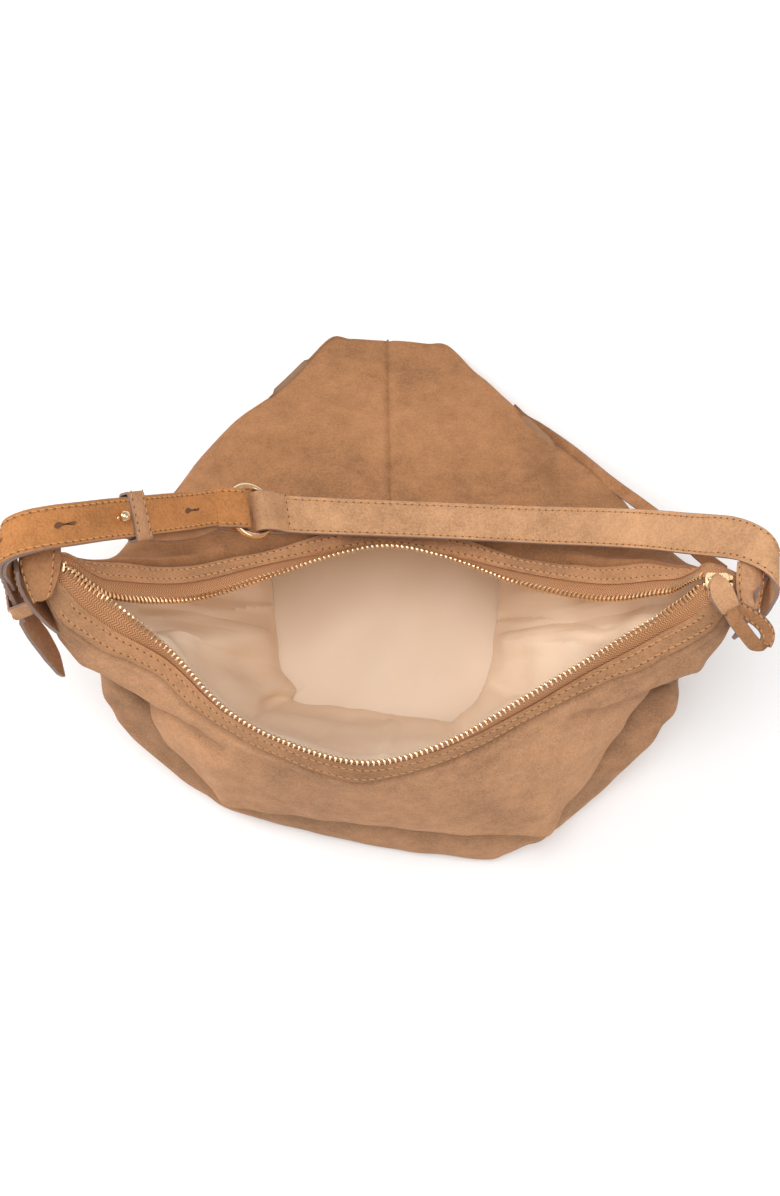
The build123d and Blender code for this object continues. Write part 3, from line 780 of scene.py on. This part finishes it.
# ---------------------------------------------------------------- lining
LINING_FLOOR = [
    (66, 0, 5), (66, 18, 5), (66, 40, 5), (62, 64, 5), (40, 84, 5),
    (0, 86, 5), (-40, 84, 5), (-65, 64, 5), (-69, 40, 5), (-68, 20, 5),
    (-66, -4, 5), (-62, -24, 5), (-53, -36, 5), (-54, -43, 5), (-30, -46, 5),
    (0, -48, 5), (36, -52, 5), (50, -45, 5), (58, -34, 5), (63, -18, 5),
]
LINING_EAR = {
    0: (168, 0, 197), 1: (157, 6, 194), 59: (157, -7, 194),
    30: (-166, -2, 197), 29: (-157, 2, 190), 31: (-157, -10, 189),
}
floor_ring = ring(LINING_FLOOR)
top_ring = facing - normals(facing_rows, closed=True)[-1] * 2.4
for third, place in LINING_EAR.items():
    spread = np.arange(1 - FINE, FINE)
    near = (third * FINE + spread) % (60 * FINE)
    weight = (np.abs(spread) / FINE)[:, None]
    top_ring[near] = top_ring[near] * weight + np.array(place) * (1 - weight)
walls = spline(np.array([
    floor_ring + [0, 0, 0.5], between(floor_ring, top_ring, 0.06, -2.0),
    between(floor_ring, top_ring, 0.5, 7), between(floor_ring, top_ring, 0.8, 4), top_ring,
]), 10)
CREASES_IN = [
    ([(-124, -14, 118), (-108, -6, 90), (-88, 4, 52), (-69, 12, 14)], 1.8, 2.4),
    ([(-126, -6, 116), (-108, 3, 88), (-88, 13, 50)], 5, -6.5),
    ([(-116, -26, 100), (-100, -19, 68), (-80, -10, 32)], 11, 11.0),
    ([(66, 11, 12), (83, 6, 46), (101, -2, 80), (117, -10, 112)], 1.8, -3.2),
    ([(106, -18, 92), (92, -13, 62), (76, -8, 34)], 9, 9.0),
    ([(100, 12, 92), (82, 19, 52)], 6, 6.0),
    ([(86, -38, 84), (66, -34, 40)], 5, -7.0),
    ([(-60, -40, 12), (-72, -52, 40), (-86, -58, 80)], 4, -5.0),
    ([(6, -52, 12), (4, -66, 60), (2, -80, 110)], 3, 2.4),
    ([(-20, -50, 12), (-34, -66, 60)], 4, -2.0),
    ([(40, -52, 14), (52, -66, 60)], 5, -2.4),
]
inside = normals(walls, closed=True)
shift_in = 1.3 * smooth_noise(walls, 60, 9) + 0.5 * smooth_noise(walls, 22, 10)
wall_shade = np.ones(shift_in.shape)
for line, width, depth in CREASES_IN:
    step = crease(walls, line, width, depth)
    shift_in = shift_in - step
    # Painted shade in the lining's crease valleys and painted light on its ridges.
    wall_shade += np.where(step < 0, step * 0.03, step * 0.008)
# Painted shade on the lowest rows of the walls, where they meet the floor.
wall_shade[:3] *= np.array([[0.78], [0.88], [0.96]])
edge_fade = np.sin(np.linspace(0, math.pi, len(walls)))[:, None] ** 0.35
walls = walls + inside * (shift_in * edge_fade)[..., None]
for name, start, end, cad in (
    ("lining_rear", 2, 8, "lining_back"), ("lining_side_left", 8, 12, "lining_left"),
    ("lining_fore", 12, 18, "lining_front"), ("lining_side_right", 18, 22, "lining_right"),
):
    sheet(name, part_of(walls, start, end), 0.5, [LINING] * 3, "bag", (cad,),
          shade=part_of(wall_shade, start, end))
centre = floor_ring.mean(0)
disc = []
for f in np.linspace(1, 0.02, 16):
    loop = centre + (floor_ring - centre) * f
    loop[:, 2] = 5.6 + 0.9 * smooth_noise(loop, 45, 12) * min(1, (1 - f) * 5)
    disc.append(loop)
disc = np.array(disc)
bottom = Builder("lining_bottom", [LINING])
bottom.grid(disc, 0, close=True)
bottom.fan(disc[-1], 0)
# Painted shade over the whole lining floor, down inside the bag.
FLOOR_CLOTH_SHADE = 0.84
bottom.shade = np.full(sum(len(part) for part in bottom.verts), FLOOR_CLOTH_SHADE)
bottom.make("bag", ("lining_floor",))

# ---------------------------------------------------------------- strap
WIDTH = 22.0
LAYER = 2.1


def strap_profile(low, high, width=WIDTH, corner=0.3):
    """Flat strap section with eased corners: ten points, top face first."""
    w = width / 2
    c = corner
    crown = 0.25
    return [
        (-w + c, high), (-w * 0.5, high + crown), (w * 0.5, high + crown), (w - c, high),
        (w, high - c), (w, low + c), (w - c, low), (-w + c, low), (-w, low + c), (-w, high - c),
    ]


# Material of each side of that section: 0 suede, 1 painted edge.
PROFILE_SLOTS = [0, 0, 0, 1, 1, 1, 0, 1, 1, 1]


def framed(path, tilts):
    """Smooth path with its width and outward directions."""
    line = spline(path, 5)
    tilt = np.radians(np.interp(np.linspace(0, len(tilts) - 1, len(line)), np.arange(len(tilts)), tilts))
    tangent = unit(np.gradient(line, axis=0))
    wide = np.stack([0 * tilt, np.cos(tilt), -np.sin(tilt)], 1)
    out = unit(np.cross(tangent, wide))
    return line, wide, out


ring_middle = np.array([-74, 45.5, 120.0])
ring_tangent = unit([0.75, 0.1, -0.65])
left_path = [
    (-185.4, -3.4, 190.5), (-186.1, -1.2, 196), (-186.4, 0.2, 210), (-186.0, 1.8, 214), (-184.8, 3.8, 218),
    (-181.6, 5.8, 221.2), (-175.5, 8.2, 223), (-168.5, 10.4, 222.4), (-160.5, 13.1, 218.6),
    (-151, 16.4, 211.4), (-143, 19.6, 203.9), (-136, 22.6, 195.8), (-119.5, 30.4, 172.3),
    (-103, 38.2, 148.8), tuple(ring_middle - ring_tangent * 24.2), tuple(ring_middle - ring_tangent * 17),
]
left_tilts = [0, 0, 0, 0, 1, 2, 3, 4, 5, 7, 8, 9, 10, 12, 13, 13]
right_path = [
    tuple(ring_middle + ring_tangent * 17), tuple(ring_middle + ring_tangent * 24.2),
    (-45, 48.6, 99.6), (-28, 48.9, 97.4), (5, 49, 96.6),
    (38, 47.8, 101), (62, 45.8, 109), (85, 43, 121), (110, 39, 140), (133, 34, 161.5),
    (150, 28.6, 181), (161, 24.8, 195.5), (170, 21.6, 206), (178, 17.4, 212),
    (184.0, 13, 214.4), (188.2, 8, 212.8), (189.4, 3.8, 208.2), (188.2, 0.2, 202),
    (187.4, -2.0, 196), (185.6, -4.6, 190.5),
]
right_tilts = [13, 13, 13, 14, 15, 15, 14, 13, 12, 10, 8, 6, 5, 4, 3, 2, 1, 0, 0, 0]
left = framed(left_path, left_tilts)
right_half = framed(right_path, right_tilts)


def strap_layer(name, stations, low, high, finish, cad, stitched=True):
    line, wide, out = stations
    piece = sweep(name, line, wide, out, strap_profile(low, high), PROFILE_SLOTS,
                  [finish, EDGE_PAINT, FLESH], "strap", (cad,))
    if stitched:
        for tag, side in (("front", -1), ("back", 1)):
            edge = line + wide * side * (WIDTH / 2 - 2.0) + out * (high + 0.12)
            stitches(f"{name}_stitches_{tag}", edge, out, "strap")
    return piece


u = np.clip((np.arange(len(left[0])) - 57) / 16, 0, 1)
sag = np.sin(math.pi * u)[:, None]
sagging = (left[0] - left[2] * 2.6 * sag - left[1] * 4.6 * sag, left[1], left[2])
strap_layer("strap_under_layer", sagging, -LAYER, -0.1, SUEDE_BACK, "strap_left_base", False)
strap_layer("strap_adjuster", left, 0.1, LAYER, SUEDE_WORN, "strap_left_adjuster")
strap_layer("strap_long_half", right_half, -1.1, 1.0, SUEDE_STRAP, "strap_right")



def tilted(degrees, along):
    """Width direction of a strap tilted about X, square to the way it runs."""
    tilt = math.radians(degrees)
    side = np.array([0, math.cos(tilt), -math.sin(tilt)])
    return unit(side - along * (side @ along))


wide_ring = tilted(13, ring_tangent)
out_ring = np.cross(ring_tangent, wide_ring)


def loop_round_ring(name, side, finish, cad):
    """The strap's end folded round one side of the ring."""
    first, last = (1.25, -1.1) if side > 0 else (0.1, -2.2)
    path = [(-24.4, first), (-19, first * 0.6 + 1.2), (-14.2, 3.0), (-10, 3.35), (-6.9, 3.4)]
    path += [(-6.9 + 3.4 * math.sin(a), 3.4 * math.cos(a)) for a in np.radians(np.arange(20, 180, 20))]
    path += [(-6.9, -3.4), (-10, -3.4), (-14.2, -3.2), (-19, last * 0.6 - 1.2), (-24.4, last)]
    rings = []
    b = Builder(name, [finish, EDGE_PAINT, FLESH])
    path = np.array(path)
    tangent = unit(np.gradient(path, axis=0))
    normal = np.stack([-tangent[:, 1], tangent[:, 0]], 1)
    for p, n in zip(path, normal):
        row = []
        for a, h in strap_profile(-1.0, 1.0):
            q = p + n * h
            row.append(ring_middle + ring_tangent * q[0] * side + out_ring * q[1] + wide_ring * a)
        rings.append(row)
    rings = np.array(rings)
    for j in range(10):
        k = (j + 1) % 10
        b.grid(np.stack([rings[:, j], rings[:, k]], axis=1), PROFILE_SLOTS[j])
    b.fan(rings[0], 0)
    b.fan(rings[-1], 0)
    piece = b.make("strap", (cad,))
    weld(piece)


loop_round_ring("strap_fold_left", 1, SUEDE_WORN, "strap_left_fold")
loop_round_ring("strap_fold_right", -1, SUEDE_STRAP, "strap_right_fold")
cross = ring_middle + ring_tangent * 23.5 + out_ring * 1.75
stitches("strap_cross_stitches", np.array([cross - wide_ring * 9.5, cross + wide_ring * 9.5]),
         out_ring, "strap")
for tag, side in (("front", -9), ("back", 9)):
    top = [(-23, 2.6), (-19, 3.1), (-14.2, 4.15), (-10, 4.5), (-7, 4.5)]
    row = np.array([ring_middle + ring_tangent * a + out_ring * h + wide_ring * side for a, h in top])
    stitches(f"fold_stitches_{tag}", row, out_ring, "strap")

# keyhole slots of the adjuster
start_straight = np.array([-136, 22.6, 195.8])
straight = unit(np.array([-103, 38.2, 148.8]) - start_straight)
wide_straight = tilted(10, straight)
out_straight = np.cross(straight, wide_straight)


def keyhole(name, centre, along, wide, out):
    """Dark slot with a round end and a slit, pressed into the suede: a sheet of painted shade where the slot
    opens.
    """
    b = Builder(name, [HOLE_SHADE])
    outline = [(-2.1 * math.cos(a), 1.7 * math.sin(a)) for a in np.radians(np.arange(-150, 151, 25))]
    outline += [(8.6, -0.9), (9.6, -0.4), (9.6, 0.4), (8.6, 0.9)]
    loop = np.array([centre + along * x + wide * y + out * (LAYER + 0.42) for x, y in outline])
    b.fan(loop, 0)
    b.fan(loop * 0.999 + centre * 0.001 - out * 0.5, 0, flip=True)
    b.make("strap", ())


line, wide, out = left
near_ring = int(np.argmin(np.abs(line[:, 0] + 106)))
for tag, k in (("near_ring", near_ring), ("bend", 40), ("ear", 14)):
    keyhole(f"keyhole_{tag}", line[k], unit(line[k + 1] - line[k - 1]), wide[k], out[k])


# ---------------------------------------------------------------- keepers
def keeper(name, centre, along, wide, out, size, inner, body, cad, finish):
    """Leather loop: length along the strap, outer and inner width and height."""
    length, w, h = size
    b = Builder(name, [finish, EDGE_PAINT, FLESH])

    def loop(w, h, r, x):
        pts = []
        for cx, cy, a0 in ((w / 2 - r, h / 2 - r, 0), (-w / 2 + r, h / 2 - r, 90),
                           (-w / 2 + r, -h / 2 + r, 180), (w / 2 - r, -h / 2 + r, 270)):
            for a in np.radians(a0 + np.arange(0, 91, 18)):
                pts.append(centre + along * x + wide * (cx + r * math.cos(a)) + out * (cy + r * math.sin(a)))
        return np.array(pts)

    half = length / 2
    outer = [
        loop(w - 0.5, h - 0.5, 1.6, -half), loop(w, h, 1.8, -half + 0.4),
        loop(w, h, 1.8, half - 0.4), loop(w - 0.5, h - 0.5, 1.6, half),
    ]
    hole = [loop(inner[0], inner[1], 0.8, half), loop(inner[0], inner[1], 0.8, -half)]
    b.grid(np.array(outer[1:3]), 0, close=True, flip=True)
    b.grid(np.array(outer[0:2]), 1, close=True, flip=True)
    b.grid(np.array(outer[2:4]), 1, close=True, flip=True)
    b.grid(np.array([outer[3], hole[0]]), 1, close=True, flip=True)
    b.grid(np.array(hole), 2, close=True, flip=True)
    b.grid(np.array([hole[1], outer[0]]), 1, close=True, flip=True)
    piece = b.make(body, (cad,))
    weld(piece)
    for side in (-1, 1):
        mid = centre + along * side * (half - 1.7) + out * (h / 2 + 0.1)
        stitches(f"{name}_stitches_{'ab'[side > 0]}",
                 np.array([mid - wide * (w / 2 - 1.5), mid + wide * (w / 2 - 1.5)]), out, body)
    return piece


keeper("keeper_sliding", start_straight + straight * 16.5, straight, wide_straight, out_straight,
       (12.0, 25.4, 6.8), (22.9, 4.8), "keeper", "sliding_keeper", SUEDE)


# ---------------------------------------------------------------- turned metal
def turned(name, origin, axis, profile, body, cad=(), sides=28):
    """Round metal piece from (radius, height) pairs about an axis."""
    axis = unit(axis)
    helper = unit(np.cross(axis, [0.3, 0.9, 0.1]))
    other = np.cross(axis, helper)
    angles = np.arange(sides) * 2 * math.pi / sides
    rings = np.array([
        [origin + axis * h + (helper * math.cos(a) + other * math.sin(a)) * r for a in angles]
        for r, h in profile
    ])
    b = Builder(name, [GOLD])
    b.grid(rings, 0, close=True)
    b.fan(rings[0], 0, flip=True)
    b.fan(rings[-1], 0)
    piece = b.make(body, cad)
    weld(piece)
    return piece


stud_at = start_straight + straight * 1.4
ball = [(2.0, 1.9), (1.4, 2.4), (1.2, 3.2)]
ball += [(2.9 * math.cos(a), 5.9 + 2.9 * math.sin(a)) for a in np.radians(np.arange(-60, 90, 10))]
ball += [(0.3, 8.78)]
turned("stud_ball", stud_at, out_straight, ball, "strap", ("stud",))
screw = [(0.6, -3.1), (3.0, -3.4), (3.4, -3.1), (3.4, -2.2), (0.5, -2.1)]
turned("stud_base", stud_at, out_straight, screw, "strap", ("stud_screw",))

RING_RADIUS = 13.9       # to the middle of the wire
WIRE_RADIUS = 1.9
torus = Builder("ring_of_strap", [GOLD])
ring_rows = []
for a in np.radians(np.arange(0, 360, 2.5)):
    spoke = ring_tangent * math.cos(a) + wide_ring * math.sin(a)
    ring_rows.append([
        ring_middle + spoke * (RING_RADIUS + WIRE_RADIUS * math.cos(q)) + out_ring * WIRE_RADIUS * math.sin(q)
        for q in np.radians(np.arange(0, 360, 15))
    ])
ring_rows.append(ring_rows[0])
torus.grid(np.array(ring_rows), 0, close=True)
weld(torus.make("ring", ("strap_ring",)))

# ---------------------------------------------------------------- ears, sewn ends and tail
def leather_strip(name, path, widths, low, high, towards, finish, body, cad):
    """Strap end with its own widths, facing the given direction."""
    line = spline(path, 6)
    w = np.interp(np.linspace(0, len(widths) - 1, len(line)), np.arange(len(widths)), widths)
    tangent = unit(np.gradient(line, axis=0))
    out = np.asarray(towards, float) - tangent * (tangent @ np.asarray(towards, float))[:, None]
    out = unit(out)
    wide = np.cross(out, tangent)
    b = Builder(name, [finish, EDGE_PAINT, FLESH])
    rings = np.array([
        [c + wd * a + o * h for a, h in strap_profile(low, high, max(width, 1.4))]
        for c, wd, o, width in zip(line, wide, out, w)
    ])
    for j in range(10):
        k = (j + 1) % 10
        b.grid(np.stack([rings[:, j], rings[:, k]], axis=1), PROFILE_SLOTS[j])
    b.fan(rings[0], 1)
    b.fan(rings[-1], 1)
    piece = b.make(body, (cad,))
    weld(piece)
    keep = w > 6
    for tag, side in (("a", -1), ("b", 1)):
        edge = (line + wide * (side * (w / 2 - 2.0))[:, None] + out * (high + 0.12))[keep]
        stitches(f"{name}_stitches_{tag}", edge, out[keep], body)
    return piece


OUT_LEFT = (-1, -0.25, 0.1)
leather_strip("sewn_end_left", [(-182.8, 0, 199), (-182.3, -6, 192), (-178.8, -13, 181), (-172.8, -19, 169),
              (-166.5, -23, 158), (-163.5, -26, 151)], [21, 20, 20, 20, 20, 17], -1, 1, OUT_LEFT,
              SUEDE_BACK, "bag", "strap_anchor_left")
leather_strip("adjuster_through_keeper", [(-189.9, 3, 205), (-190.2, 0, 199), (-189.4, -6, 190),
              (-186.0, -13.6, 179.4), (-183.3, -19.4, 169.7)], [18, 20, 20, 20, 20], -1, 1, OUT_LEFT,
              SUEDE_BACK, "bag", "adjuster_held")
leather_strip("tail_of_adjuster", [(-183.6, -19.9, 168.9), (-180.4, -26, 157), (-174.5, -34, 142),
              (-170.2, -41, 128), (-168.7, -46, 117)], [20, 20, 20, 14, 1.5], -1, 1, (-0.95, -0.2, -0.1),
              SUEDE, "tail", "adjuster_tail")
leather_strip("sewn_end_right", [(184.4, 2, 203), (184.3, -3, 195), (183, -8, 187), (181, -13, 178),
              (178.6, -16.5, 170)], [21, 21, 20, 20, 18], -1, 1, (1, -0.45, 0.35),
              SUEDE, "bag", "strap_anchor_right")
keeper_along = unit(np.array([-183.6, -17.4, 173]) - np.array([-186.0, -13.6, 179.4]))
keeper_out = np.array(OUT_LEFT) - keeper_along * (keeper_along @ np.array(OUT_LEFT))
keeper_out = unit(keeper_out)
keeper("keeper_fixed", np.array([-183.9, -13.9, 177.6]), keeper_along,
       np.cross(keeper_out, keeper_along), keeper_out,
       (9, 25.4, 10.8), (22.8, 8.8), "bag", "fixed_keeper", SUEDE)


def ear_patch(name, rows, cad, finish):
    """Patch folded over the end of the zip, down to the strap."""
    grid = spline(np.transpose(spline(np.array(rows, float), 4), (1, 0, 2)), 5)
    if normals(grid)[2, 4, 2] < 0:
        grid = grid[:, ::-1]
    sheet(name, grid, 1.4, [finish, FLESH, EDGE_PAINT], "bag", (cad,))
    n = normals(grid)
    for tag, row in (("inner", 2), ("outer", len(grid) - 6)):
        stitches(f"{name}_stitches_{tag}", grid[row] + n[row] * 0.1, n[row], "bag")


ear_patch("ear_patch_of_left", [
    [(-160.6, 9, 205.3), (-168, 9.3, 206.5), (-174, 9, 206.5), (-178.5, 8.5, 204), (-180.9, 8, 199)],
    [(-159.2, 3, 207.4), (-168, 3, 208.6), (-174, 3, 208.4), (-178.7, 3, 206), (-181, 3, 200.5)],
    [(-159.2, -5, 207.0), (-168, -5, 208.2), (-174, -5, 207.8), (-178.2, -5, 205), (-180.6, -5, 199)],
    [(-160.6, -11, 205.4), (-167.5, -12, 206.4), (-172, -12.5, 205.5),
     (-175.5, -13, 202.5), (-177.5, -13, 196)],
    [(-163.5, -18, 202), (-167.5, -20.5, 200.6), (-170.5, -20.5, 199),
     (-172.5, -20.5, 196), (-174, -20.5, 191)],
], "ear_patch_left", SUEDE_BACK)
ear_patch("ear_patch_of_right", [
    [(170.5, 10, 206), (174.5, 10.5, 206.8), (179, 10, 206.3), (182.8, 9, 204), (185.0, 8, 199)],
    [(169.9, 4, 207.8), (174.5, 4, 208.2), (179.5, 4, 207.6), (183.4, 3.5, 205), (185.4, 3, 199.5)],
    [(170, -3, 207.2), (175, -3, 207.4), (179.6, -3, 206.2), (183.2, -3.5, 203.2), (185.0, -4, 198)],
    [(171.5, -9, 204.5), (176, -9.5, 204), (179.6, -10, 202), (182.5, -10.5, 198.5), (183.8, -11, 194)],
    [(173.8, -14.5, 200), (177, -15, 199), (179.6, -15.3, 196.5), (181.8, -15.5, 193), (182.8, -15.8, 188)],
], "ear_patch_right", SUEDE)

# ---------------------------------------------------------------- slider and pull
SLIDER = np.array([160, 0, 204.5])


def rounded_block(name, centre, half, body, cad, round_by=0.35, waist=0.0):
    """Plate with softened edges, narrowed in the middle of its length."""
    bottoms = []
    for z, inset in ((-1, round_by), (-1 + round_by, 0), (1 - round_by, 0), (1, round_by)):
        loop = []
        for a in np.arange(0, 360, 12):
            c, s = math.cos(math.radians(a)), math.sin(math.radians(a))
            x = math.copysign(abs(c) ** 0.5, c)
            y = math.copysign(abs(s) ** 0.5, s) * (1 - waist * (1 - x * x))
            shrink = 1 - inset * 0.12
            loop.append(centre + np.array([x * half[0] * shrink, y * half[1] * shrink, z * half[2]]))
        bottoms.append(loop)
    b = Builder(name, [GOLD])
    rings = np.array(bottoms)
    b.grid(rings, 0, close=True)
    b.fan(rings[0], 0, flip=True)
    b.fan(rings[-1], 0)
    piece = b.make(body, cad)
    weld(piece)
    return piece


rounded_block("slider_top", SLIDER + [0.6, 0, 2.5], (6.0, 4.6, 0.8), "slider", ("slider_body",), waist=0.16)
rounded_block("slider_under", SLIDER + [-0.8, 0, -2.5], (4.0, 3.6, 0.65), "slider", (), waist=0.16)
rounded_block("slider_post", SLIDER + [-3.9, 0, 0], (0.7, 0.4, 2.4), "slider", ())
bail_line = spline([
    (-3.6, 0, 2.9), (-3.7, 0, 5.0), (-2.9, 0, 6.6), (0, 0, 6.95), (2.9, 0, 6.6), (3.7, 0, 5.0), (3.6, 0, 2.9),
], 5)
bail_tangent = unit(np.gradient(bail_line, axis=0))
bail = Builder("slider_bridge", [GOLD])
bail_rings = []
for p, t in zip(bail_line, bail_tangent):
    y = np.array([0, 1.0, 0])
    n = np.cross(t, y)
    bail_rings.append([
        SLIDER + p + y * 1.15 * math.cos(q) + n * 0.8 * math.sin(q)
        for q in np.radians(np.arange(0, 360, 30))
    ])
bail.grid(np.array(bail_rings), 0, close=True)
weld(bail.make("slider", ("slider_bail",)))

for tag, y in (("front", -1.8), ("back", 1.8)):
    rounded_block(f"top_stop_{tag}", np.array([167.2, y, 206.2]), (1.2, 1.1, 0.9), "bag",
                  ("zip_stops_right",) if y < 0 else ())
rounded_block("bottom_stop", np.array([-158.8, -3.6, 201.8]), (0.9, 2.4, 0.8), "bag", ("zip_stop_left",))

PULL_WIDE = unit([0.83, 0.5, 0.1])


def pull_strip(name, path, width, thick, body, cad, finish, stitched, hint=PULL_WIDE, taper=None):
    line = spline(path, 6)
    tangent = unit(np.gradient(line, axis=0))
    wide = unit(hint - tangent * (tangent @ hint)[:, None])
    out = np.cross(wide, tangent)
    profile = strap_profile(-thick / 2, thick / 2, width, 0.4)
    if taper:
        place = np.linspace(0, len(taper) - 1, len(line))
        wide = wide * np.interp(place, np.arange(len(taper)), taper)[:, None]
    sweep(name, line, wide, out, profile, PROFILE_SLOTS, [finish, EDGE_PAINT, FLESH], body, cad)
    if stitched:
        for tag, side in (("a", -1), ("b", 1)):
            edge = line + wide * side * (width / 2 - 1.1) + out * (thick / 2 + 0.15)
            stitches(f"{name}_stitches_{tag}", edge, out, body)


tab = [(159.0, 1.8, 210.4), (159.6, 1.1, 212.4), (160.2, -1.9, 213.4), (162, -7, 213.6),
       (165.6, -12.4, 210.9), (166.6, -13.6, 208.9), (163.8, -10.4, 208.9), (160.8, -5.5, 209.6),
       (159.2, -1.8, 208.9), (158.8, 0.8, 208.8)]
pull_strip("pull_tab_leather", tab, 12.0, 1.5, "pull", ("pull_tab",), SUEDE_STRAP, True, PULL_WIDE,
           [0.3, 0.3, 0.72, 1.0, 0.9, 0.8, 0.85, 1, 0.5, 0.3])
loop_path = [(165.4, -12.2, 209.6), (170, -19, 205), (175.5, -23.5, 199), (180, -26.5, 192),
             (183.6, -27.8, 187), (188.3, -26.4, 186.0), (188.6, -21.6, 188.6), (184.0, -17.6, 194.4),
             (176, -14, 200.5), (167.6, -11.2, 206.0)]
pull_strip("pull_loop_leather", loop_path, 7.2, 1.6, "pull_end", ("pull_loop",), SUEDE_BACK, True)

# ---------------------------------------------------------------- tie strap at the back
tie_path = [(70, 138, 7), (77, 129.5, 14), (86, 120.5, 27), (104, 102, 47), (121.6, 80.4, 71),
            (138.4, 60.4, 97), (151, 40.5, 130), (160, 22, 160), (167, 10, 182)]
pull_strip("tie_strap_leather", tie_path, 7.0, 1.6, "bag", ("tie_strap",), SUEDE_BACK, False,
           unit([0.75, 0.6, 0.25]))
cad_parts["base_board"].data.materials.clear()
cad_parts["base_board"].data.materials.append(BOARD)

# ---------------------------------------------------------------- floor and light
backdrop = Finish("studio_floor")
backdrop.set(Base_Color=(0.97, 0.97, 0.97, 1), Roughness=0.95, Specular_IOR_Level=0.0)
SPAN = 3.0               # metres from the middle to each side
corners = [(-SPAN, -SPAN, 0), (SPAN, -SPAN, 0), (SPAN, SPAN, 0), (-SPAN, SPAN, 0)]
ground = bpy.data.meshes.new("floor")
ground.from_pydata(corners, [], [(0, 1, 2, 3)])
ground.materials.append(backdrop.material)
floor = bpy.data.objects.new("floor", ground)
bpy.context.scene.collection.objects.link(floor)


def area_light(name, place, target, size, power):
    data = bpy.data.lights.new(name, "AREA")
    data.energy = power
    data.size = size
    light = bpy.data.objects.new(name, data)
    bpy.context.scene.collection.objects.link(light)
    light.location = place
    light.rotation_euler = (Vector(target) - Vector(place)).to_track_quat("-Z", "Y").to_euler()


area_light("overhead", (-0.2, -0.1, 2.9), (0, 0, 0.05), 1.5, 46)
area_light("side_left", (-1.6, 0.5, 1.3), (0, 0, 0.1), 0.8, 15)
area_light("side_right", (1.6, -0.5, 1.3), (0, 0, 0.1), 1.0, 6)
world = bpy.data.worlds.new("studio")
bpy.context.scene.world = world
world.use_nodes = True
world.node_tree.nodes["Background"].inputs[0].default_value = (1, 1, 1, 1)
world.node_tree.nodes["Background"].inputs[1].default_value = 0.52
bpy.context.scene.view_settings.view_transform = "Standard"

for node_name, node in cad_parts.items():
    if node_name != "base_board" and not node.hide_render:
        print("still showing", node_name)
